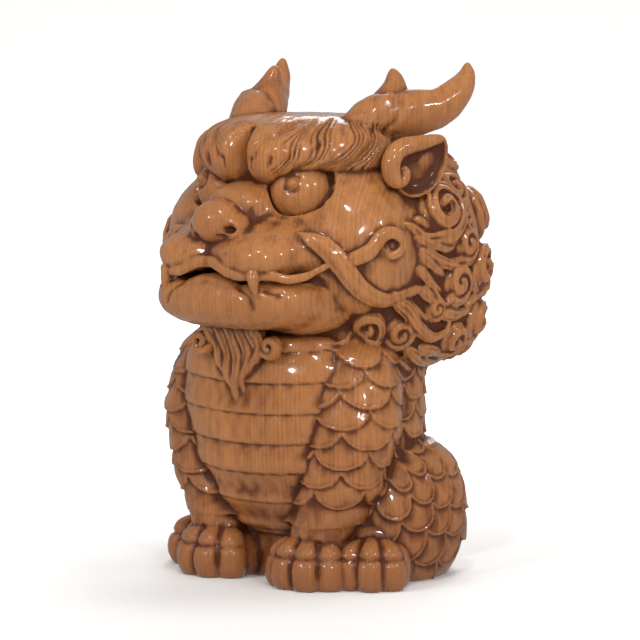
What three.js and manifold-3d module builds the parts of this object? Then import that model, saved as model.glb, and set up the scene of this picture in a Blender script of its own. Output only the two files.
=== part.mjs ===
// A seated qilin carved from one block of wood, about 200 mm tall to the tips of its horns.
// It has a broad head with overhanging brows, a blunt muzzle, a mane of snail curls and two
// forked horns, a belly of stepped plates, and scales from the shoulders to the haunches.
// Millimetres, +Z up, the figure faces -Y and stands on z = 0.

import * as THREE from "three";
import { ParametricGeometry } from "three/addons/geometries/ParametricGeometry.js";
import { mergeVertices } from "three/addons/utils/BufferGeometryUtils.js";
import Module from "manifold-3d";

const wasm = await Module();
wasm.setup();

// Driving dimensions

const HEIGHT = 198; // floor to horn tips
const grow = HEIGHT / 198; // 1 at the height that the proportions below are drawn at
const mm = (length) => length * grow;
const at = (x, y, z) => new THREE.Vector3(x, y, z).multiplyScalar(grow);

const PLATE_PITCH = mm(11.6); // belly plate to belly plate
const PLATE_STEP = mm(1.5); // how far a plate stands over the next one down
const SCALES_ROUND = 14; // in one row round the body
const SCALE_PITCH = mm(7.6); // row to row
const SCALE_RISE = mm(1.6); // how far a scale's lower rim stands proud
const HORN_RADIUS = mm(9);
const EYE_RADIUS = mm(12.2);
const PUPIL_RADIUS = mm(1.9);
const TOE_GROOVE = mm(2.8);
const MOUSTACHE_RADIUS = mm(3.1);
const REACH = mm(140); // longer than any way from inside a form to its skin

// Small maths

const mix = (a, b, t) => a + (b - a) * t;
const clamp = (x, low, high) => Math.min(high, Math.max(low, x));
const smoothstep = (low, high, x) => {
  const t = clamp((x - low) / (high - low), 0, 1);
  return t * t * (3 - 2 * t);
};

// The smaller of two distances, with a fillet of size k where they meet.
function smoothMin(a, b, k) {
  const h = Math.max(k - Math.abs(a - b), 0) / k;
  return Math.min(a, b) - (h * h * k) / 4;
}

// Value of a table of [position, value] pairs at x, eased from each to the next.
function along(table, x) {
  if (x <= table[0][0]) return table[0][1];
  for (let i = 1; i < table.length; i++) {
    const [x0, y0] = table[i - 1];
    const [x1, y1] = table[i];
    if (x <= x1) return mix(y0, y1, smoothstep(0, 1, (x - x0) / (x1 - x0)));
  }
  return table[table.length - 1][1];
}

// Distance fields: negative inside, positive outside

// An ellipsoid, or with a power over 2 a squarer block with round edges.
function oval(centre, radii, power = 2) {
  return (p) => {
    const q = [p.x - centre.x, p.y - centre.y, p.z - centre.z];
    const r = [radii.x, radii.y, radii.z];
    const sum = q.reduce((s, c, i) => s + Math.abs(c / r[i]) ** power, 0);
    const reach = sum ** (1 / power);
    return reach < 1e-6 ? -Math.min(...r) : ((reach - 1) / reach) * Math.hypot(...q);
  };
}

const mirrored = (field) => (p) => field({ x: Math.abs(p.x), y: p.y, z: p.z });

const blended = (k, fields) => (p) => fields.map((f) => f(p)).reduce((a, b) => smoothMin(a, b, k));

// The point where a ray from inside a field leaves it, by halving.
function leaves(field, from, direction) {
  let low = 0;
  let high = REACH;
  const p = new THREE.Vector3();
  for (let i = 0; i < 26; i++) {
    const half = (low + high) / 2;
    p.copy(direction).multiplyScalar(half).add(from);
    if (field(p) < 0) low = half;
    else high = half;
  }
  return p.copy(direction).multiplyScalar(high).add(from);
}

// The outward direction of a field's surface near a point.
function outward(field, p) {
  const e = mm(0.8);
  const slope = (axis) => {
    const a = p.clone();
    const b = p.clone();
    a[axis] += e;
    b[axis] -= e;
    return field(a) - field(b);
  };
  return new THREE.Vector3(slope("x"), slope("y"), slope("z")).normalize();
}

// Solids

// A closed geometry as a solid that can be joined and cut. Seams and poles are merged first.
function solid(geometry) {
  const bare = new THREE.BufferGeometry();
  bare.setAttribute("position", geometry.getAttribute("position").clone());
  if (geometry.index) bare.setIndex(geometry.index);
  const merged = mergeVertices(bare, 1e-4);
  const index = merged.index.array;
  const faces = [];
  for (let i = 0; i < index.length; i += 3) {
    const [a, b, c] = [index[i], index[i + 1], index[i + 2]];
    if (a !== b && b !== c && c !== a) faces.push(a, b, c);
  }
  const vertProperties = merged.attributes.position.array;
  const made = (triVerts) =>
    new wasm.Manifold(new wasm.Mesh({ numProp: 3, vertProperties, triVerts }));
  const first = made(new Uint32Array(faces));
  if (first.volume() > 0) return first;
  for (let i = 0; i < faces.length; i += 3) [faces[i], faces[i + 1]] = [faces[i + 1], faces[i]];
  return made(new Uint32Array(faces));
}

const surface = (point, slices, stacks) => solid(new ParametricGeometry(point, slices, stacks));

// The surface of a field seen from a centre inside it, in rings from top to bottom. spread flattens
// the fan of rays, so that the rings of a low, wide form also fall on its sides.
function shell(field, centre, slices, stacks, spread = new THREE.Vector3(1, 1, 1)) {
  return surface(
    (u, v, target) => {
      const a = u * 2 * Math.PI;
      const b = v * Math.PI;
      const direction = new THREE.Vector3(Math.sin(b) * Math.sin(a), -Math.sin(b) * Math.cos(a), Math.cos(b));
      target.copy(leaves(field, centre, direction.multiply(spread).normalize()));
    },
    slices,
    stacks,
  );
}

// A lock, horn or toe: an oval section carried along a path, with its height along a normal.
// radius(t) gives [half width, half height], and the ends close on the path. With blunt ends the
// sections crowd towards them, so that the form closes round, and without they are evenly spaced.
function sweep(path, normal, radius, sides, steps, bluntEnds = true) {
  return surface(
    (u, v, target) => {
      const t = bluntEnds ? 0.5 - 0.5 * Math.cos(v * Math.PI) : v;
      const e = 1e-3;
      const here = path(t);
      const ahead = path(Math.min(1, t + e)).sub(path(Math.max(0, t - e))).normalize();
      const up = normal(t).clone();
      up.addScaledVector(ahead, -up.dot(ahead)).normalize();
      const side = ahead.clone().cross(up);
      const [w, h] = v === 0 || v === 1 ? [0, 0] : radius(t);
      const a = u * 2 * Math.PI;
      target.copy(here).addScaledVector(side, w * Math.cos(a)).addScaledVector(up, h * Math.sin(a));
    },
    sides,
    steps,
  );
}

const throughPoints = (points) => {
  const curve = new THREE.CatmullRomCurve3(points);
  return (t) => curve.getPoint(t);
};

const mirror = (point) => new THREE.Vector3(-point.x, point.y, point.z);

// A piece made for each side: make(side) with side +1 for the figure's left and -1 for its right.
const bothSides = (make) => [make(1), make(-1)].flat();
const sided = (side) => (x, y, z) => at(side * x, y, z);

// Head

const HEAD_CENTRE = at(0, 4, 134);

const skull = oval(at(0, 6, 140), at(46, 42, 37), 2.3);
const cheeks = mirrored(oval(at(27, -10, 128), at(28, 26, 28.5), 2.2));
const maneBulk = oval(at(0, 18, 118), at(53, 42, 42), 3);
const headField = blended(mm(6), [skull, cheeks, maneBulk]);

const muzzleField = blended(mm(3), [
  oval(at(0, -38, 126.5), at(33, 24, 10.5), 2.8),
  mirrored(oval(at(13.5, -48.5, 128), at(15.5, 13.5, 9), 2.2)),
]);
const jawField = blended(mm(3), [
  oval(at(0, -35, 111), at(36, 26, 9), 3),
  oval(at(0, -49, 110), at(18, 11, 9), 2.4),
  oval(at(0, -38, 99), at(18, 13, 11)),
]);
const noseField = blended(mm(2.5), [
  oval(at(0, -53, 140.5), at(10.5, 9, 8.5)),
  mirrored(oval(at(8.5, -51, 137.5), at(6, 7, 5.8))),
  mirrored(oval(at(7, -40, 146), at(8, 9, 9))),
]);

function headMass() {
  return [
    shell(headField, HEAD_CENTRE, 20, 12),
    shell(muzzleField, at(0, -40, 127), 18, 7, new THREE.Vector3(1, 0.8, 0.45)),
    shell(jawField, at(0, -40, 111), 18, 6, new THREE.Vector3(1, 0.8, 0.3)),
    shell(noseField, at(0, -47, 142), 11, 7),
  ];
}

// The brows: a thick cap of hair with a round lobe each side of a notch in front.
const BROW_CENTRE = at(0, 0, 163);
const BROW_TOP = mm(12.8);
const BROW_UNDER = mm(13);
const BROW_STRANDS = 14;
// Angle from the front and radius there.
const BROW_RADIUS = [[0, 37], [0.14, 42], [0.45, 45.2], [0.85, 40], [1.4, 41.5], [1.8, 38], [Math.PI, 34]];

function browCap() {
  return surface(
    (u, v, target) => {
      const angle = (u - 0.5) * 2 * Math.PI;
      const b = v * Math.PI;
      const front = smoothstep(2, 1, Math.abs(angle));
      const rim = Math.sin(b) ** 2;
      const strand = (Math.round(u * 2 * BROW_STRANDS) % 2 ? 0.5 : -0.5) * mm(1.4) * front * rim;
      const out = mm(along(BROW_RADIUS, Math.abs(angle))) * Math.sin(b) ** 0.6 + strand;
      const up = Math.cos(b);
      target.set(Math.sin(angle) * out, -Math.cos(angle) * out, up * (up > 0 ? BROW_TOP : BROW_UNDER));
      target.add(BROW_CENTRE);
    },
    2 * BROW_STRANDS,
    7,
  );
}

// Eyes: a ball under each brow with a small raised pupil.
const EYE = at(20, -26.5, 149.5);
const GAZE = new THREE.Vector3(0.3, -0.9, 0.28).normalize();

function eyes() {
  return bothSides((side) => {
    const place = side > 0 ? EYE.clone() : mirror(EYE);
    const gaze = side > 0 ? GAZE.clone() : mirror(GAZE);
    const pupil = place.clone().addScaledVector(gaze, EYE_RADIUS - mm(0.4));
    return [
      solid(new THREE.SphereGeometry(EYE_RADIUS, 10, 7).translate(...place)),
      solid(new THREE.SphereGeometry(PUPIL_RADIUS, 5, 4).translate(...pupil)),
    ];
  });
}

// Horns: a stem that sweeps back and up from a root on the forehead, with one short tine.
const blunt = (t) => Math.sqrt(Math.max(0, 1 - t ** 5));

function horns() {
  return bothSides((side) => {
    const p = sided(side);
    const stem = throughPoints([
      p(22, -10, 169),
      p(31, 4, 176),
      p(38, 17, 179),
      p(43.5, 30, 182),
      p(46.5, 38, 189),
      p(47, 41.5, 198.3),
    ]);
    const tine = throughPoints([p(29, 8, 176), p(30, 13, 187), p(29.5, 15, 195.5)]);
    const out = () => new THREE.Vector3(side, 0, 0.2);
    const stemRadius = (t) => HORN_RADIUS * (1 - 0.64 * t ** 1.5) * blunt(t);
    const tineRadius = (t) => HORN_RADIUS * (0.8 - 0.5 * t) * blunt(t);
    return [
      sweep(stem, out, (t) => [stemRadius(t), stemRadius(t) * 0.9], 6, 8),
      sweep(tine, out, (t) => [tineRadius(t), tineRadius(t)], 5, 5),
    ];
  });
}

// Ears: a hollowed leaf on each side of the head, pointing up and back, with a thick front lobe.
function ears() {
  return bothSides((side) => {
    const p = sided(side);
    const middle = p(50, 3.5, 158.5);
    const long = new THREE.Vector3(side * 0.17, 0.71, 0.68).normalize();
    const face = new THREE.Vector3(side * 0.93, -0.36, 0.1);
    face.addScaledVector(long, -face.dot(long)).normalize();
    const across = long.clone().cross(face);
    const leaf = surface(
      (u, v, target) => {
        const a = u * 2 * Math.PI;
        const b = v * Math.PI;
        const point = 1 + 0.25 * Math.max(0, Math.cos(a)) ** 4;
        const ring = Math.sin(b) ** 0.8;
        const hollow = Math.cos(b) > 0 ? mm(5 * ring ** 3 - 2) : mm(6) * Math.cos(b);
        target
          .copy(middle)
          .addScaledVector(long, mm(13.5) * point * Math.cos(a) * ring)
          .addScaledVector(across, mm(9.5) * Math.sin(a) * ring)
          .addScaledVector(face, hollow);
      },
      9,
      6,
    );
    const lobe = shell(oval(p(45.5, -6.5, 157), at(5.5, 5, 10)), p(45.5, -6.5, 157), 6, 4);
    return [leaf, lobe];
  });
}

// Hair and whiskers laid on the head

// The head's surface in the direction of a point from the head's centre, raised by a height.
function onHead(p, raise = 0) {
  const direction = p.clone().sub(HEAD_CENTRE).normalize();
  const foot = leaves(headField, HEAD_CENTRE, direction);
  return foot.addScaledVector(outward(headField, foot), raise);
}

function headLock(points, width, height, sides, steps, taper = (t) => 1 - t ** 2) {
  const free = throughPoints(points);
  return sweep(
    (t) => onHead(free(t)),
    (t) => outward(headField, onHead(free(t))),
    (t) => [width * taper(t), height * taper(t)],
    sides,
    steps,
  );
}

// A snail curl: a lock that winds inwards on the head's surface and rises to its centre.
// place is its middle, start the angle where it begins and turns its winding, plus or minus.
function curl(place, radius, start, turns) {
  const middle = onHead(place);
  const normal = outward(headField, middle);
  const right = new THREE.Vector3(0, 0, 1).cross(normal).normalize();
  const up = normal.clone().cross(right);
  const path = (t) => {
    const r = radius * mix(0.85, 0.1, t);
    const a = start + turns * 2 * Math.PI * t;
    const flat = middle
      .clone()
      .addScaledVector(right, r * Math.cos(a))
      .addScaledVector(up, r * Math.sin(a));
    return onHead(flat, radius * 0.28 * t);
  };
  const thick = (t) => radius * mix(0.26, 0.32, t);
  return sweep(path, () => normal, (t) => [thick(t), thick(t) * 1.15], 4, 8, false);
}

// Middle of each curl on the figure's left, its radius, starting angle and turns.
const CURLS = [
  [at(53, 11, 142), mm(10), -2.4, 1.2],
  [at(46, 26, 152), mm(8.5), -2.2, 1.2],
  [at(56, 22, 129), mm(9.5), -2.6, 1.2],
  [at(56, 22, 113), mm(8.5), -2.6, 1.2],
  [at(54, 8, 100), mm(9.5), -3.4, 1.2],
  [at(47, -3, 97), mm(6.5), -2.8, 1.1],
  [at(42, -15, 99), mm(6.5), -2.8, 1.1],
  [at(50, 28, 95), mm(9.5), -3, 1.2],
  [at(30, 46, 142), mm(14), -2.4, 1.2],
  [at(30, 50, 106), mm(15), -2.4, 1.2],
];

function mane() {
  return CURLS.flatMap(([place, radius, start, turns]) =>
    bothSides((side) =>
      side > 0
        ? curl(place, radius, start, turns)
        : curl(mirror(place), radius, Math.PI - start, -turns),
    ),
  );
}

function whiskers() {
  return bothSides((side) => {
    const p = sided(side);
    const moustache = headLock(
      [
        p(31, -42, 136),
        p(40, -38, 129),
        p(46, -35, 121),
        p(52, -33, 115.5),
        p(57, -26, 113),
        p(59, -17, 115),
        p(60, -8, 117.5),
        p(60, 3, 114),
      ],
      MOUSTACHE_RADIUS,
      MOUSTACHE_RADIUS * 1.15,
      4,
      9,
    );
    const cheekCurl = headLock(
      [
        p(44, -34, 129),
        p(51, -29, 129),
        p(55, -25, 133),
        p(57, -20, 136),
        p(58, -15, 134),
        p(58, -15, 129),
        p(57, -19, 126.5),
      ],
      mm(1.9),
      mm(1.8),
      3,
      8,
    );
    return [moustache, cheekCurl];
  });
}

// Mouth: a raised upper lip that waves round the muzzle, and a fang at each front corner.
function mouth() {
  const half = [
    at(0, -59, 125),
    at(7, -60.5, 124),
    at(15, -61, 120),
    at(23, -59, 120.5),
    at(30, -51.5, 122),
    at(36, -43, 120),
    at(41, -36, 122),
  ];
  const lip = throughPoints([...half.slice(1).reverse().map(mirror), ...half]);
  const fangs = bothSides((side) => {
    const p = sided(side);
    return sweep(
      throughPoints([p(23, -56, 122), p(23.5, -58, 117.5), p(23, -58.5, 113.5)]),
      () => new THREE.Vector3(0, 1, 0),
      (t) => [mm(2.2) * (1 - t * t), mm(2.2) * (1 - t * t)],
      4,
      3,
    );
  });
  return [
    sweep(lip, () => new THREE.Vector3(0, 0, 1), () => [mm(2.6), mm(1.8)], 4, 18),
    ...fangs,
  ];
}

// Beard: locks from under the chin that lie down the chest, and a small scroll each side of it.
const BEARD_SIDE_LOCKS = 2; // each side of the middle one
const BEARD = { spacing: 4, length: 35, shorter: 6.5 }; // shorter: by this much for each lock outwards

function beard() {
  const places = Array.from({ length: 2 * BEARD_SIDE_LOCKS + 1 }, (_, i) => i - BEARD_SIDE_LOCKS);
  const locks = places.map((n) => {
    const x = n * BEARD.spacing;
    const long = BEARD.length - BEARD.shorter * Math.abs(n);
    return sweep(
      throughPoints([
        at(x * 1.1, -53, 104),
        at(x * 0.95, -46.5, 97),
        at(x * 1.05, -44, 100 - long * 0.45),
        at(x * 0.6, -43.5, 101 - long),
      ]),
      () => new THREE.Vector3(0, -1, 0.25),
      (t) => [mm(3.2) * (1 - t ** 3), mm(3.6) * (1 - t ** 3)],
      3,
      5,
    );
  });
  const scrolls = bothSides((side) => {
    const p = sided(side);
    return sweep(
      (t) => {
        const a = 1.5 * Math.PI * t;
        const r = 4.4 - 2.6 * t;
        return p(14 - r * Math.cos(a), -41.5, 90 - r * Math.sin(a));
      },
      () => new THREE.Vector3(0, -1, 0),
      (t) => [mm(1.7) * (1 - 0.4 * t), mm(3) * (1 - 0.2 * t)],
      3,
      7,
    );
  });
  return [...locks, ...scrolls];
}

// Body

const BODY_TOP = mm(104);
const TORSO = { centre: at(0, 4, 0), radii: at(43, 34, 1) };

// Place and radius of each front leg down its height: [height, value].
const LEG_X = [[0, 24], [18, 25], [30, 28.5], [40, 32.5], [62, 36], [84, 34], [104, 26]];
const LEG_Y = [[0, -24], [18, -23], [30, -21], [40, -19.5], [62, -17], [84, -14], [104, -8]];
const LEG_R = [[0, 10], [18, 11], [30, 12.5], [40, 15], [62, 17.5], [76, 17.5], [86, 15], [104, 9]];
const legAt = (table, z) => mm(along(table, z / grow));

const torsoField = (p) => {
  const across = Math.abs(p.x / TORSO.radii.x) ** 2.4;
  const deep = Math.abs((p.y - TORSO.centre.y) / TORSO.radii.y) ** 2.4;
  return ((across + deep) ** (1 / 2.4) - 1) * TORSO.radii.y;
};
const legField = (p) =>
  Math.hypot(Math.abs(p.x) - legAt(LEG_X, p.z), p.y - legAt(LEG_Y, p.z)) - legAt(LEG_R, p.z);
const bodyField = blended(mm(5), [torsoField, legField]);

// Rows of overlapping scales on a skin. place(a, s) is the skin's point at an angle a round it and a
// way s down it. The lower rim of each row waves in round tongues and stands proud of the next row,
// with a drop to it that is a small share of the pitch.
const SCALE_DROP = 0.03;

function scaledSkin({ place, out, count, first, pitch, rows, depth, cap, foot, front }) {
  const columns = count * 4;
  const rim = (row, a) => {
    const across = (((a / (2 * Math.PI)) * count + (row % 2) / 2) % 1) * 2 - 1;
    return first + row * pitch - depth * (1 - Math.sqrt(Math.max(0, 1 - across * across)));
  };
  return surface(
    (u, v, target) => {
      const a = u * 2 * Math.PI;
      const ring = Math.round(v * (2 * rows + 3));
      const row = Math.floor((ring - 2) / 2);
      const proud = ring > 1 && ring % 2 === 0;
      const s = ring < 2 ? cap : row >= rows ? foot : rim(row, a) + (proud ? 0 : SCALE_DROP * pitch);
      const lift = proud && row < rows ? SCALE_RISE * front(a) : 0;
      if (ring === 0) target.copy(place(a, cap, true));
      else if (ring === 2 * rows + 3) target.copy(place(a, foot, true));
      else target.copy(place(a, s)).addScaledVector(out(a, s), lift);
    },
    columns,
    2 * rows + 3,
  );
}

// Lengths down from the top: first rim, tongue depth, top and the end above the ankles.
const BODY_SCALES = { first: mm(12.5), rows: 8, depth: mm(6.4), cap: 0, foot: mm(78) };

// The body's skin: torso, shoulders and upper legs in one, with scales from the mane to the ankles.
function body() {
  const middle = (z) => new THREE.Vector3(0, 0, z);
  const ray = (a) => new THREE.Vector3(Math.sin(a), -Math.cos(a), 0);
  const place = (a, s, pole) =>
    pole ? middle(BODY_TOP - s) : leaves(bodyField, middle(BODY_TOP - s), ray(a));
  return scaledSkin({
    place,
    out: (a, s) => outward(bodyField, place(a, s)),
    count: SCALES_ROUND,
    pitch: SCALE_PITCH,
    ...BODY_SCALES,
    front: (a) => smoothstep(0.5, 0.8, Math.min(a, 2 * Math.PI - a)),
  });
}

function ankles() {
  return bothSides((side) =>
    surface(
      (u, v, target) => {
        const a = u * 2 * Math.PI;
        const z = mm(mix(3, 34, clamp((v * 5 - 1) / 3, 0, 1)));
        const r = v === 0 || v === 1 ? 0 : legAt(LEG_R, z) - mm(0.6);
        target.set(side * legAt(LEG_X, z) + r * Math.sin(a), legAt(LEG_Y, z) - r * Math.cos(a), z);
      },
      10,
      5,
    ),
  );
}

// The seat: the low body between the haunches, down to the floor.
const seatField = oval(at(0, 8, 14), at(40, 30, 34), 3);

// Belly: a barrel between the legs, stepped into plates that overlap downwards.
const BELLY_TOP = mm(102);
const BELLY_BOTTOM = mm(18.5);
const BELLY_FRONT = [[18, 26], [24, 33], [40, 40.5], [60, 43], [80, 42], [102, 36]];
const BELLY_WIDTH = [[18, 17], [24, 23], [40, 30], [60, 34], [80, 34], [102, 30]];

function belly() {
  const plates = Math.round((BELLY_TOP - BELLY_BOTTOM) / PLATE_PITCH);
  const levels = [];
  for (let i = 0; i < plates; i++) {
    const low = BELLY_BOTTOM + i * PLATE_PITCH;
    levels.push([low, PLATE_STEP / 2]);
    levels.push([low + PLATE_PITCH - mm(0.4), -PLATE_STEP / 2]);
  }
  return surface(
    (u, v, target) => {
      const row = Math.round(v * (levels.length + 1)) - 1;
      const end = row < 0 || row >= levels.length;
      const [z, step] = levels[clamp(row, 0, levels.length - 1)];
      const a = Math.PI * (2 * u - 1) - 0.9 * Math.sin(2 * Math.PI * (u - 0.5));
      const s = Math.sin(a);
      const c = Math.cos(a);
      const w = legAt(BELLY_WIDTH, z);
      const d = legAt(BELLY_FRONT, z);
      const r = end ? 0 : (Math.abs(s / w) ** 2.5 + Math.abs(c / d) ** 2.5) ** (-1 / 2.5) + step;
      target.set(r * s, -r * c, z);
    },
    14,
    levels.length + 1,
  );
}

// Haunches: a big round thigh each side, with scales that point down and back from the knee.
const HAUNCH = at(34, 17, 23);
const haunchField = oval(HAUNCH, at(20, 27, 31), 2.2);
// Angles from the knee, in radians: first rim, row to row, tongue depth, bare knee and plain foot.
const HAUNCH_SCALES = { count: 7, first: 0.85, pitch: 0.46, rows: 3, depth: 0.27, cap: 0.3, foot: 2.6 };

function haunches() {
  return bothSides((side) => {
    const centre = side > 0 ? HAUNCH.clone() : mirror(HAUNCH);
    const field = (p) => haunchField({ x: side * p.x, y: p.y, z: p.z });
    const knee = new THREE.Vector3(side * 0.1, -0.55, 0.85).normalize();
    const turn = new THREE.Quaternion().setFromUnitVectors(new THREE.Vector3(0, 0, 1), knee);
    const place = (a, s, pole) => {
      const b = pole && s === 0 ? 0 : pole ? Math.PI : s;
      const ray = new THREE.Vector3(Math.sin(b) * Math.sin(a), -Math.sin(b) * Math.cos(a), Math.cos(b));
      return leaves(field, centre, ray.applyQuaternion(turn));
    };
    return scaledSkin({
      place,
      out: (a, s) => outward(field, place(a, s)),
      ...HAUNCH_SCALES,
      front: () => 1,
    });
  });
}

// Tail: a tuft of three locks that rises from the seat and lies against the back.
function tail() {
  const lock = (lean, long, width) =>
    sweep(
      throughPoints([
        at(0, 34, 12),
        at(lean * 0.6, 41, 12 + long * 0.3),
        at(lean, 40, 12 + long * 0.7),
        at(lean * 0.7, 36, 12 + long),
      ]),
      () => new THREE.Vector3(0, 1, 0),
      (t) => [mm(width) * Math.sin(Math.PI * mix(0.15, 1, t)), mm(6) * (1 - 0.5 * t)],
      3,
      5,
    );
  return [lock(0, 56, 7.5), lock(10, 42, 6), lock(-10, 42, 6)];
}

// Paws
const TOES = 4;
const TOE_COLUMNS = 3;
const HEEL_COLUMNS = 5;
const PAW_HEIGHT = mm(19.5);
// Height and reach up a paw, as shares: the toe ends, the groove over them, the knuckles, the instep.
const PAW_PROFILE = [[0, 0.94], [0.24, 1], [0.47, 0.87], [0.62, 0.9], [0.84, 0.7], [1, 0.42]];

// One paw: toes fan out either side of a facing angle, with a groove between each two.
function paw(centre, facing, fan, reach) {
  const columns = Math.round(TOES * TOE_COLUMNS) + HEEL_COLUMNS;
  const rings = PAW_PROFILE.length + 1;
  return surface(
    (u, v, target) => {
      const column = Math.round(u * columns) % columns;
      const onToe = Math.min(column / (TOES * TOE_COLUMNS), 1);
      const heel = Math.max(0, column - TOES * TOE_COLUMNS) / HEEL_COLUMNS;
      const a = facing + fan * (2 * onToe - 1) + heel * (2 * Math.PI - 2 * fan);
      const across = ((onToe * TOES) % 1) * 2 - 1;
      const groove = 1 - Math.sqrt(Math.max(0, 1 - across * across));
      const ring = Math.round(v * rings);
      const end = ring === 0 || ring === rings;
      const [height, share] = PAW_PROFILE[clamp(ring - 1, 0, PAW_PROFILE.length - 1)];
      const depth = heel > 0 ? 0 : TOE_GROOVE * groove * (1 - 0.6 * height);
      const r = end ? 0 : reach * share * mix(1, 0.75, Math.sin(Math.PI * heel)) - depth;
      target.set(r * Math.sin(a), -r * Math.cos(a), height * PAW_HEIGHT);
      target.add(centre);
    },
    columns,
    rings,
  );
}

function paws() {
  return bothSides((side) => {
    const p = sided(side);
    return [
      paw(p(22.5, -23, 0), 0, 1.15, mm(19.2)),
      paw(p(39.5, -9.5, 0), side * 0.75, 1.25, mm(18.4)),
    ];
  });
}

// The whole figure: every form joined, and the underside cut flat at the floor.
function figure() {
  const forms = [
    ...headMass(),
    browCap(),
    ...eyes(),
    ...horns(),
    ...ears(),
    ...mane(),
    ...whiskers(),
    ...tail(),
    ...mouth(),
    ...beard(),
    body(),
    shell(seatField, at(0, 8, 14), 12, 6),
    belly(),
    ...ankles(),
    ...haunches(),
    ...paws(),
  ];
  const joined = wasm.Manifold.union(forms);
  const wide = 2 * REACH;
  const floor = solid(new THREE.BoxGeometry(wide, wide, wide).translate(0, 0, -wide / 2));
  return withoutPockets(joined.subtract(floor));
}

// Pockets of air that the overlapping forms leave inside are wood in the block, so they are filled.
// Such a pocket is a shell of its own, turned inside out, so its volume comes out below zero.
function withoutPockets(block) {
  return wasm.Manifold.union(block.decompose().filter((shape) => shape.volume() > 0));
}

function meshOf(made, name, material) {
  const { vertProperties, triVerts, numProp } = made.getMesh();
  const position = new Float32Array((vertProperties.length / numProp) * 3);
  for (let i = 0; i < position.length / 3; i++) {
    position.set(vertProperties.subarray(i * numProp, i * numProp + 3), i * 3);
  }
  const geometry = new THREE.BufferGeometry();
  geometry.setAttribute("position", new THREE.BufferAttribute(position, 3));
  geometry.setIndex(new THREE.BufferAttribute(triVerts, 1));
  geometry.computeVertexNormals();
  const mesh = new THREE.Mesh(geometry, material);
  mesh.name = name;
  return mesh;
}

const wood = new THREE.MeshStandardMaterial({ color: 0x9a5f35, roughness: 0.35, metalness: 0 });
const qilin = meshOf(figure(), "qilin_figure", wood);
qilin.geometry.computeBoundingBox();
const { min, max } = qilin.geometry.boundingBox;
qilin.position.set(-(min.x + max.x) / 2, -(min.y + max.y) / 2, -min.z);

const group = new THREE.Group();
group.add(qilin);

export default group;
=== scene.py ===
"""A seated qilin carved from one block of wood and lacquered, on a pale floor in soft studio light.

Every form of the carving is a closed surface worked out with numpy in millimetres, in the frame of
the solids: +Z up, the figure faces -Y, its own left side is +X. The surfaces are laid together and
made one skin, the fine cuts are pressed into that skin, and it is then dressed as lacquered wood.
"""

import logging
import math
from dataclasses import dataclass
from enum import Enum
from typing import Callable

import bpy
import numpy as np
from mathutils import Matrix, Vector


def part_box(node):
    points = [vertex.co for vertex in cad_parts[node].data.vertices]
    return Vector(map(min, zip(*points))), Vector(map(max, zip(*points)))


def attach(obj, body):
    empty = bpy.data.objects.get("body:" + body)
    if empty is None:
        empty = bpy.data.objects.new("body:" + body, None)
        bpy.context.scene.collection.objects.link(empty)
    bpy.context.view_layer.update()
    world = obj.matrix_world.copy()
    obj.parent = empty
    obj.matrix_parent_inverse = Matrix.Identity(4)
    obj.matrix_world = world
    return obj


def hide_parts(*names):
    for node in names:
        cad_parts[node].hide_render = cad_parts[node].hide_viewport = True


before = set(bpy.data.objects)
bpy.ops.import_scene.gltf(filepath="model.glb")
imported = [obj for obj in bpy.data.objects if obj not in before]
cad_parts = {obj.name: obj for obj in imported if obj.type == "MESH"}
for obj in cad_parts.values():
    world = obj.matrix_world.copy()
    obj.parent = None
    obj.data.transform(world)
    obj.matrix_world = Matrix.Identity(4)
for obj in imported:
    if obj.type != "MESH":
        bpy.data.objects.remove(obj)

Array = np.ndarray
Field = Callable[[Array], Array]
Point = tuple[float, float, float]
Table = tuple[tuple[float, float], ...]
OvalSizes = tuple[Point, Point, float, float]  # centre, radii, power and low, as oval() takes them
Ramp = tuple[float, float, float]  # where a change starts, where it ends, and how much it comes to

log = logging.getLogger("qilin")
MM = 0.001  # metres in a millimetre
NODE = "qilin_figure"
UP = np.array([0.0, 0.0, 1.0])
TURN = 2 * np.pi  # once round


# Small maths


def unit(v: Array) -> Array:
    """Vectors of any shape (..., 3) brought to length one."""
    return v / np.maximum(np.linalg.norm(v, axis=-1, keepdims=True), 1e-9)


def eased(x: Array, low: float, high: float) -> Array:
    """Rises from 0 at low to 1 at high as 3t squared less 2t cubed."""
    t = np.clip((x - low) / (high - low), 0.0, 1.0)
    return t * t * (3 - 2 * t)


def along(table: Table, x: Array) -> Array:
    """Reads a table of (position, value) pairs, eased from each pair to the next.

    Args:
        table: pairs in rising order of position.
        x: positions to read.

    Returns:
        The values at x.
    """
    places, values = np.array(table, float).T
    i = np.clip(np.searchsorted(places, x) - 1, 0, len(places) - 2)
    t = np.clip((x - places[i]) / (places[i + 1] - places[i]), 0.0, 1.0)
    t = t * t * (3 - 2 * t)
    return values[i] + (values[i + 1] - values[i]) * t


def soft_min(a: Array, b: Array, k: float) -> Array:
    """The smaller of two distances, with a fillet of size k where they meet."""
    h = np.maximum(k - np.abs(a - b), 0) / k
    return np.minimum(a, b) - h * h * k / 4


def flipped(p: Array) -> Array:
    """Points mirrored to the figure's other side."""
    return np.asarray(p, float) * np.array([-1.0, 1.0, 1.0])


def curve(points: Array | tuple[Point, ...], steps: int) -> Array:
    """A smooth path through points: each stretch is a cubic whose slopes are half the way between
    the points on either side.

    Args:
        points: control points, (n, 3).
        steps: number of places on the path.

    Returns:
        The path, (steps, 3), evenly spaced in the control points' own count.
    """
    p = np.asarray(points, float)
    slope = np.gradient(p, axis=0)
    t = np.linspace(0, len(p) - 1, steps)
    i = np.minimum(t.astype(int), len(p) - 2)
    s = (t - i)[:, None]
    a, b, m, n = p[i], p[i + 1], slope[i], slope[i + 1]
    return (
        (2 * s**3 - 3 * s**2 + 1) * a + (s**3 - 2 * s**2 + s) * m
        + (3 * s**2 - 2 * s**3) * b + (s**3 - s**2) * n
    )


# Distance fields: negative inside, positive outside


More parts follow.
